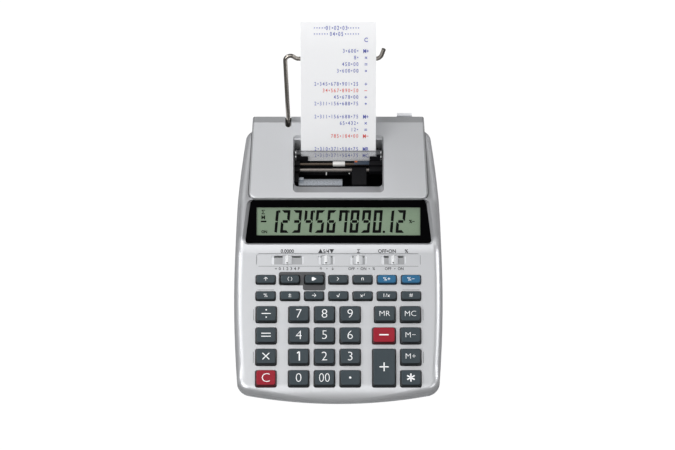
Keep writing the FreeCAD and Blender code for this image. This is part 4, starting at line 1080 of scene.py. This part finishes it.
class CALC_OT_paper(bpy.types.Operator):
    """Make the printed strip, the web behind it and the roll"""
    bl_idname = "calculator.paper"
    bl_label = "Paper"

    def execute(self, context):
        look = context.scene.calculator_paper
        white = paper_white("paper_white", look.white)
        strip = paper_run(strip_route())
        made = piece("paper_printed_strip", strip, white, "case", ["paper_strip"], 60.0)
        flat = (PAPER_WIDTH * MM, route_length(strip_route()))
        web = paper_run(web_route())
        made = piece("paper_web", web, white, None, ["paper_strip"], 60.0)
        flat = (PAPER_WIDTH * MM, route_length(web_route()))
        at(0, 214, 25)
        at(0, 236, 44)
        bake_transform(made)
        self.print_lines(look)
        self.roll(look)
        return {"FINISHED"}

    def print_lines(self, look):
        inks = {False: bmesh.new(), True: bmesh.new()}
        for index, (number, sign, negative) in enumerate(PRINT_LINES):
            bm = inks[negative]
            place = strip_spot(line_place(index, look.line_pitch / MM))
            if number and sign:
                lettering(bm, number, 4.6, spot(place, 15.0, 0, 0), 0.01, "RIGHT", 0.01, 0.7, 1.38)
            elif number:
                lettering(bm, number, 4.6, spot(place, -1.4, 0, 0), 0.01, "CENTER", 0.02, 0.7, 1.38)
                for column in range(18):
                    x = (column - 8.5) * 1.93
                    if abs(x) > len(number) * 0.97 + 0.5:
                        dot(bm, x - 1.4, 0, 0.42, place, 0.02)
            if sign:
                width = 0.66 if len(sign) > 1 else 0.85
                lettering(bm, sign, 4.9, spot(place, 20.6, 0, 0), 0.01, "CENTER", 0.06, width)
        blue, red = inks[False], inks[True]
        piece("print_blue", blue, ink("ink_blue", look.blue, 0.7), "case")
        piece("print_red", red, ink("ink_red", look.red, 0.7), "case")

    def roll(self, look):
        bm = bmesh.new()
        half, edge = PAPER_WIDTH / 2, 0.4
        profile = [(-half + edge, ROLL_RADIUS), (half - edge, ROLL_RADIUS), (half, ROLL_RADIUS - edge),
                   (half, ROLL_BORE), (-half, ROLL_BORE), (-half, ROLL_RADIUS - edge)]
        centre = at(0, *ROLL)
        verts = [bm.verts.new(centre + Vector((x * MM, 0, radius * MM))) for x, radius in profile]
        edges = [bm.edges.new((verts[i], verts[(i + 1) % len(verts)])) for i in range(len(verts))]
        bmesh.ops.spin(bm, geom=verts + edges, cent=centre, axis=(1, 0, 0), angle=2 * math.pi,
                       steps=96, use_merge=True)
        bmesh.ops.remove_doubles(bm, verts=bm.verts[:], dist=0.00001)
        bmesh.ops.recalc_face_normals(bm, faces=bm.faces[:])
        wound = wound_paper("paper_wound", look.white, centre)
        piece("paper_roll_wound", bm, wound, "roll", ["paper_roll"])


# Number, sign and red ink of every printed line, from the paper's end to the tear bar
PRINT_LINES = (
    ("01•02•03", "", False), ("04•05", "", False), ("", "C", False), ("", "", False),
    ("3•600•", "M+", False), ("8•", "×", False), ("450•00", "=", False), ("3•600•00", "∗", False),
    ("", "", False),
    ("2•345•678•901•25", "+", False), ("34•567•890•50", "−", True), ("45•678•00", "+", False),
    ("2•311•156•688•75", "∗", False), ("", "", False),
    ("2•311•156•688•75", "M+", False), ("65•432•", "×", False), ("12•", "=", False),
    ("785•184•00", "M−", True),
    ("", "", False), ("2•310•371•504•75", "MR", False), ("2•310•371•504•75", "MC", False),
)


def line_place(index, pitch):
    """How far up the strip a printed line stands; the lines on the curled end are closer together."""
    straight, last, curl_pitch = 4, -4.8, 4.68
    along = last + (len(PRINT_LINES) - 1 - max(index, straight)) * pitch
    return along + max(straight - index, 0) * curl_pitch


def strip_spot(along, lift=0.12):
    """A local frame on the strip's front, at a distance along it above the tear bar."""
    if along <= STRIP_LENGTH:
        return spot(STRIP, 0, along, lift)
    turn = (along - STRIP_LENGTH) / CURL_RADIUS
    centre = spot(STRIP, 0, STRIP_LENGTH, -CURL_RADIUS)
    return centre @ Matrix.Rotation(-turn, 4, "X") @ Matrix.Translation((0, 0, (CURL_RADIUS + lift) * MM))


def strip_route():
    """The strip's steps: straight runs as a length, bends as a turn about a centre."""
    lean = math.radians(PAPER_LEAN)
    up = Vector((0, math.sin(lean), math.cos(lean)))
    out = Vector((0, -math.cos(lean), math.sin(lean)))
    foot = at(0, *ROLLER) + out * ROLLER_RADIUS * MM
    straight = (at(0, 190.9, 50.0) - foot).dot(up) / MM + STRIP_LENGTH
    start = at(0, ROLLER[0], ROLLER[1] - ROLLER_RADIUS)
    curl = foot + up * straight * MM - out * CURL_RADIUS * MM
    return start, (("turn", at(0, *ROLLER), -(math.pi / 2 + lean), ROLLER_RADIUS),
                   ("run", up, straight),
                   ("turn", curl, -math.radians(CURL_ANGLE), CURL_RADIUS))


def web_route():
    """The web's steps from the roller's underside to the roll."""
    start = at(0, ROLLER[0], ROLLER[1] - ROLLER_RADIUS)
    to_roll = Vector((ROLL[0] - WEB_TURN[0], ROLL[1] - WEB_TURN[1]))
    lean = math.atan2(to_roll.x, to_roll.y) + math.asin(ROLL_WRAP / to_roll.length)
    bend = math.pi / 2 - lean
    tangent = WEB_TURN_RADIUS * math.tan(bend / 2)
    up = Vector((0, math.sin(lean), math.cos(lean)))
    rise = math.sqrt(to_roll.length ** 2 - ROLL_WRAP ** 2) - tangent
    centre = at(0, WEB_TURN[0] - tangent, WEB_TURN[1] + WEB_TURN_RADIUS)
    return start, (("run", Vector((0, 1, 0)), WEB_TURN[0] - tangent - ROLLER[0]),
                   ("turn", centre, bend, WEB_TURN_RADIUS),
                   ("run", up, rise))


def route_length(route):
    """The length of a paper route in metres."""
    return sum(step[2] if step[0] == "run" else abs(step[2]) * step[3] for step in route[1]) * MM


def paper_run(route):
    """A thin sheet drawn along a route by extruding and spinning its edge."""
    start, steps = route
    bm = bmesh.new()
    half = Vector((PAPER_WIDTH / 2 * MM, 0, 0))
    edge = bm.edges.new((bm.verts.new(start - half), bm.verts.new(start + half)))
    for step in steps:
        if step[0] == "run":
            pieces = max(1, round(step[2] / 6))
            for _ in range(pieces):
                grown = bmesh.ops.extrude_edge_only(bm, edges=[edge])["geom"]
                bmesh.ops.translate(bm, verts=[g for g in grown if isinstance(g, bmesh.types.BMVert)],
                                    vec=step[1] * step[2] * MM / pieces)
                edge = [g for g in grown if isinstance(g, bmesh.types.BMEdge)][0]
        else:
            steps_round = max(4, round(math.degrees(abs(step[2])) / 5))
            grown = bmesh.ops.spin(bm, geom=[edge] + list(edge.verts), cent=step[1], axis=(1, 0, 0),
                                   angle=step[2], steps=steps_round)["geom_last"]
            edge = [g for g in grown if isinstance(g, bmesh.types.BMEdge)][0]
    bmesh.ops.remove_doubles(bm, verts=bm.verts[:], dist=0.000001)
    bmesh.ops.recalc_face_normals(bm, faces=bm.faces[:])
    bmesh.ops.solidify(bm, geom=bm.faces[:], thickness=PAPER_THICKNESS * MM)
    bmesh.ops.recalc_face_normals(bm, faces=bm.faces[:])
    return bm


class CALC_OT_arm(bpy.types.Operator):
    """Finish the wire arm and the tear bar"""
    bl_idname = "calculator.arm"
    bl_label = "Wire arm"

    def execute(self, context):
        paint("paper_arm", metal("wire_nickel", (0.40, 0.37, 0.335), 0.16, (40.0, 1.0, 1.0), 300.0))
        # Painted shade: a black plate on the wire, behind the slot where the wire enters the case, makes the
        # slot look dark.
        flag = bmesh.new()
        rounded_box(flag, (-40.7, 16.0, -2.7), (-34.9, 24.0, -1.65), 0.3, ARM)
        piece("arm_flag", flag, rubber("flag_black", (0.01, 0.01, 0.01)), "arm")
        paint("tear_bar", clear_plastic("bar_clear", (0.45, 0.46, 0.48), 0.2))
        return {"FINISHED"}


# Stage

class CALC_OT_stage(bpy.types.Operator):
    """Make the floor, the light and the camera"""
    bl_idname = "calculator.stage"
    bl_label = "Stage"

    def execute(self, context):
        look = context.scene.calculator_stage
        context.scene.view_settings.view_transform = "Standard"
        self.floor()
        self.room(context, look)
        self.lamps(look)
        self.camera(context, look)
        return {"FINISHED"}

    def floor(self):
        bm = bmesh.new()
        sunk = Matrix.Translation((0, 0, -0.05 * MM))
        bmesh.ops.create_grid(bm, x_segments=1, y_segments=1, size=6.0, matrix=sunk)
        finish = Finish("floor_white")
        rays = finish.tree.nodes.new("ShaderNodeLightPath")
        seen = Val(finish.tree, rays.outputs["Is Camera Ray"])
        glossy = Val(finish.tree, rays.outputs["Is Glossy Ray"])
        clear = Val(finish.tree, rays.outputs["Is Transmission Ray"])
        glow = (seen + clear) * 1.06 + glossy * 0.08
        white = finish.node("ShaderNodeEmission", sockets={"Color": glow, "Strength": 1.0})
        matt = finish.node("ShaderNodeBsdfDiffuse", sockets={"Color": (0.81, 0.81, 0.81, 1)})
        share = (seen + clear) * 0.92 + glossy * 0.85
        mixed = finish.node("ShaderNodeMixShader", sockets={0: share, 1: matt, 2: white})
        finish.end(mixed)
        floor = piece("floor", bm, finish.material, None)

    def room(self, context, look):
        world = bpy.data.worlds.new("room")
        context.scene.world = world
        world.use_nodes = True
        tree = world.node_tree
        tree.nodes.clear()
        rays = tree.nodes.new("ShaderNodeLightPath")
        seen = Val(tree, rays.outputs["Is Camera Ray"])
        strength = seen * (1.0 - look.room) + look.room
        back = tree.nodes.new("ShaderNodeBackground")
        connect(tree, back.inputs["Color"], strength)
        output = tree.nodes.new("ShaderNodeOutputWorld")
        tree.links.new(back.outputs[0], output.inputs["Surface"])

    def lamps(self, look):
        places = (("lamp_top", (-0.6, -0.4, 1.9), 1.8, 1.15), ("lamp_rear", (-0.4, 1.0, 1.7), 1.0, 0.14),
                  ("lamp_left", (-1.4, -1.2, 1.4), 1.0, 1.35), ("lamp_right", (1.4, -1.2, 1.4), 1.0, 0.75),
                  ("lamp_rear_left", (-1.2, 0.9, 1.15), 0.8, 1.0),
                  ("lamp_rear_right", (1.4, 0.8, 0.8), 1.0, 0.9))
        for name, place, size, share in places:
            light = bpy.data.lights.new(name, "AREA")
            light.size = size
            light.energy = look.lamp * share
            lamp = bpy.data.objects.new(name, light)
            lamp.location = place
            aim = at(0, 110, 30) - Vector(place)
            lamp.rotation_euler = aim.to_track_quat("-Z", "Y").to_euler()
            bpy.context.collection.objects.link(lamp)

    def camera(self, context, look):
        data = bpy.data.cameras.new("camera")
        data.sensor_width = 36.0
        data.lens = look.lens
        data.clip_end = 50.0
        camera = bpy.data.objects.new("camera", data)
        target = at(-0.64, 133.87, 36.0)
        back = Vector((0, -math.cos(look.elevation), math.sin(look.elevation)))
        camera.location = target + back * look.distance
        camera.rotation_euler = (-back).to_track_quat("-Z", "Y").to_euler()
        context.collection.objects.link(camera)
        context.scene.camera = camera


OPERATORS = (CALC_OT_case, CALC_OT_keys, CALC_OT_display, CALC_OT_marks, CALC_OT_mechanism, CALC_OT_paper,
             CALC_OT_arm, CALC_OT_stage)


class CALC_PT_sidebar(bpy.types.Panel):
    """Buttons for every step of the calculator"""
    bl_idname = "CALC_PT_sidebar"
    bl_label = "Printing Calculator"
    bl_space_type = "VIEW_3D"
    bl_region_type = "UI"
    bl_category = "Calculator"

    def draw(self, context):
        for name, _ in SETTINGS:
            box = self.layout.box()
            for prop in getattr(context.scene, name).bl_rna.properties:
                if prop.identifier not in ("rna_type", "name"):
                    box.prop(getattr(context.scene, name), prop.identifier)
        for operator in OPERATORS:
            self.layout.operator(operator.bl_idname)


def register():
    for name, group in SETTINGS:
        bpy.utils.register_class(group)
        setattr(bpy.types.Scene, name, bpy.props.PointerProperty(type=group))
    for operator in OPERATORS:
        bpy.utils.register_class(operator)
    bpy.utils.register_class(CALC_PT_sidebar)


def unregister():
    bpy.utils.unregister_class(CALC_PT_sidebar)
    for operator in reversed(OPERATORS):
        bpy.utils.unregister_class(operator)
    for name, group in reversed(SETTINGS):
        delattr(bpy.types.Scene, name)
        bpy.utils.unregister_class(group)


def main():
    register()
    for operator in OPERATORS:
        group, name = operator.bl_idname.split(".")
        getattr(getattr(bpy.ops, group), name)()


if __name__ == "__main__":
    main()
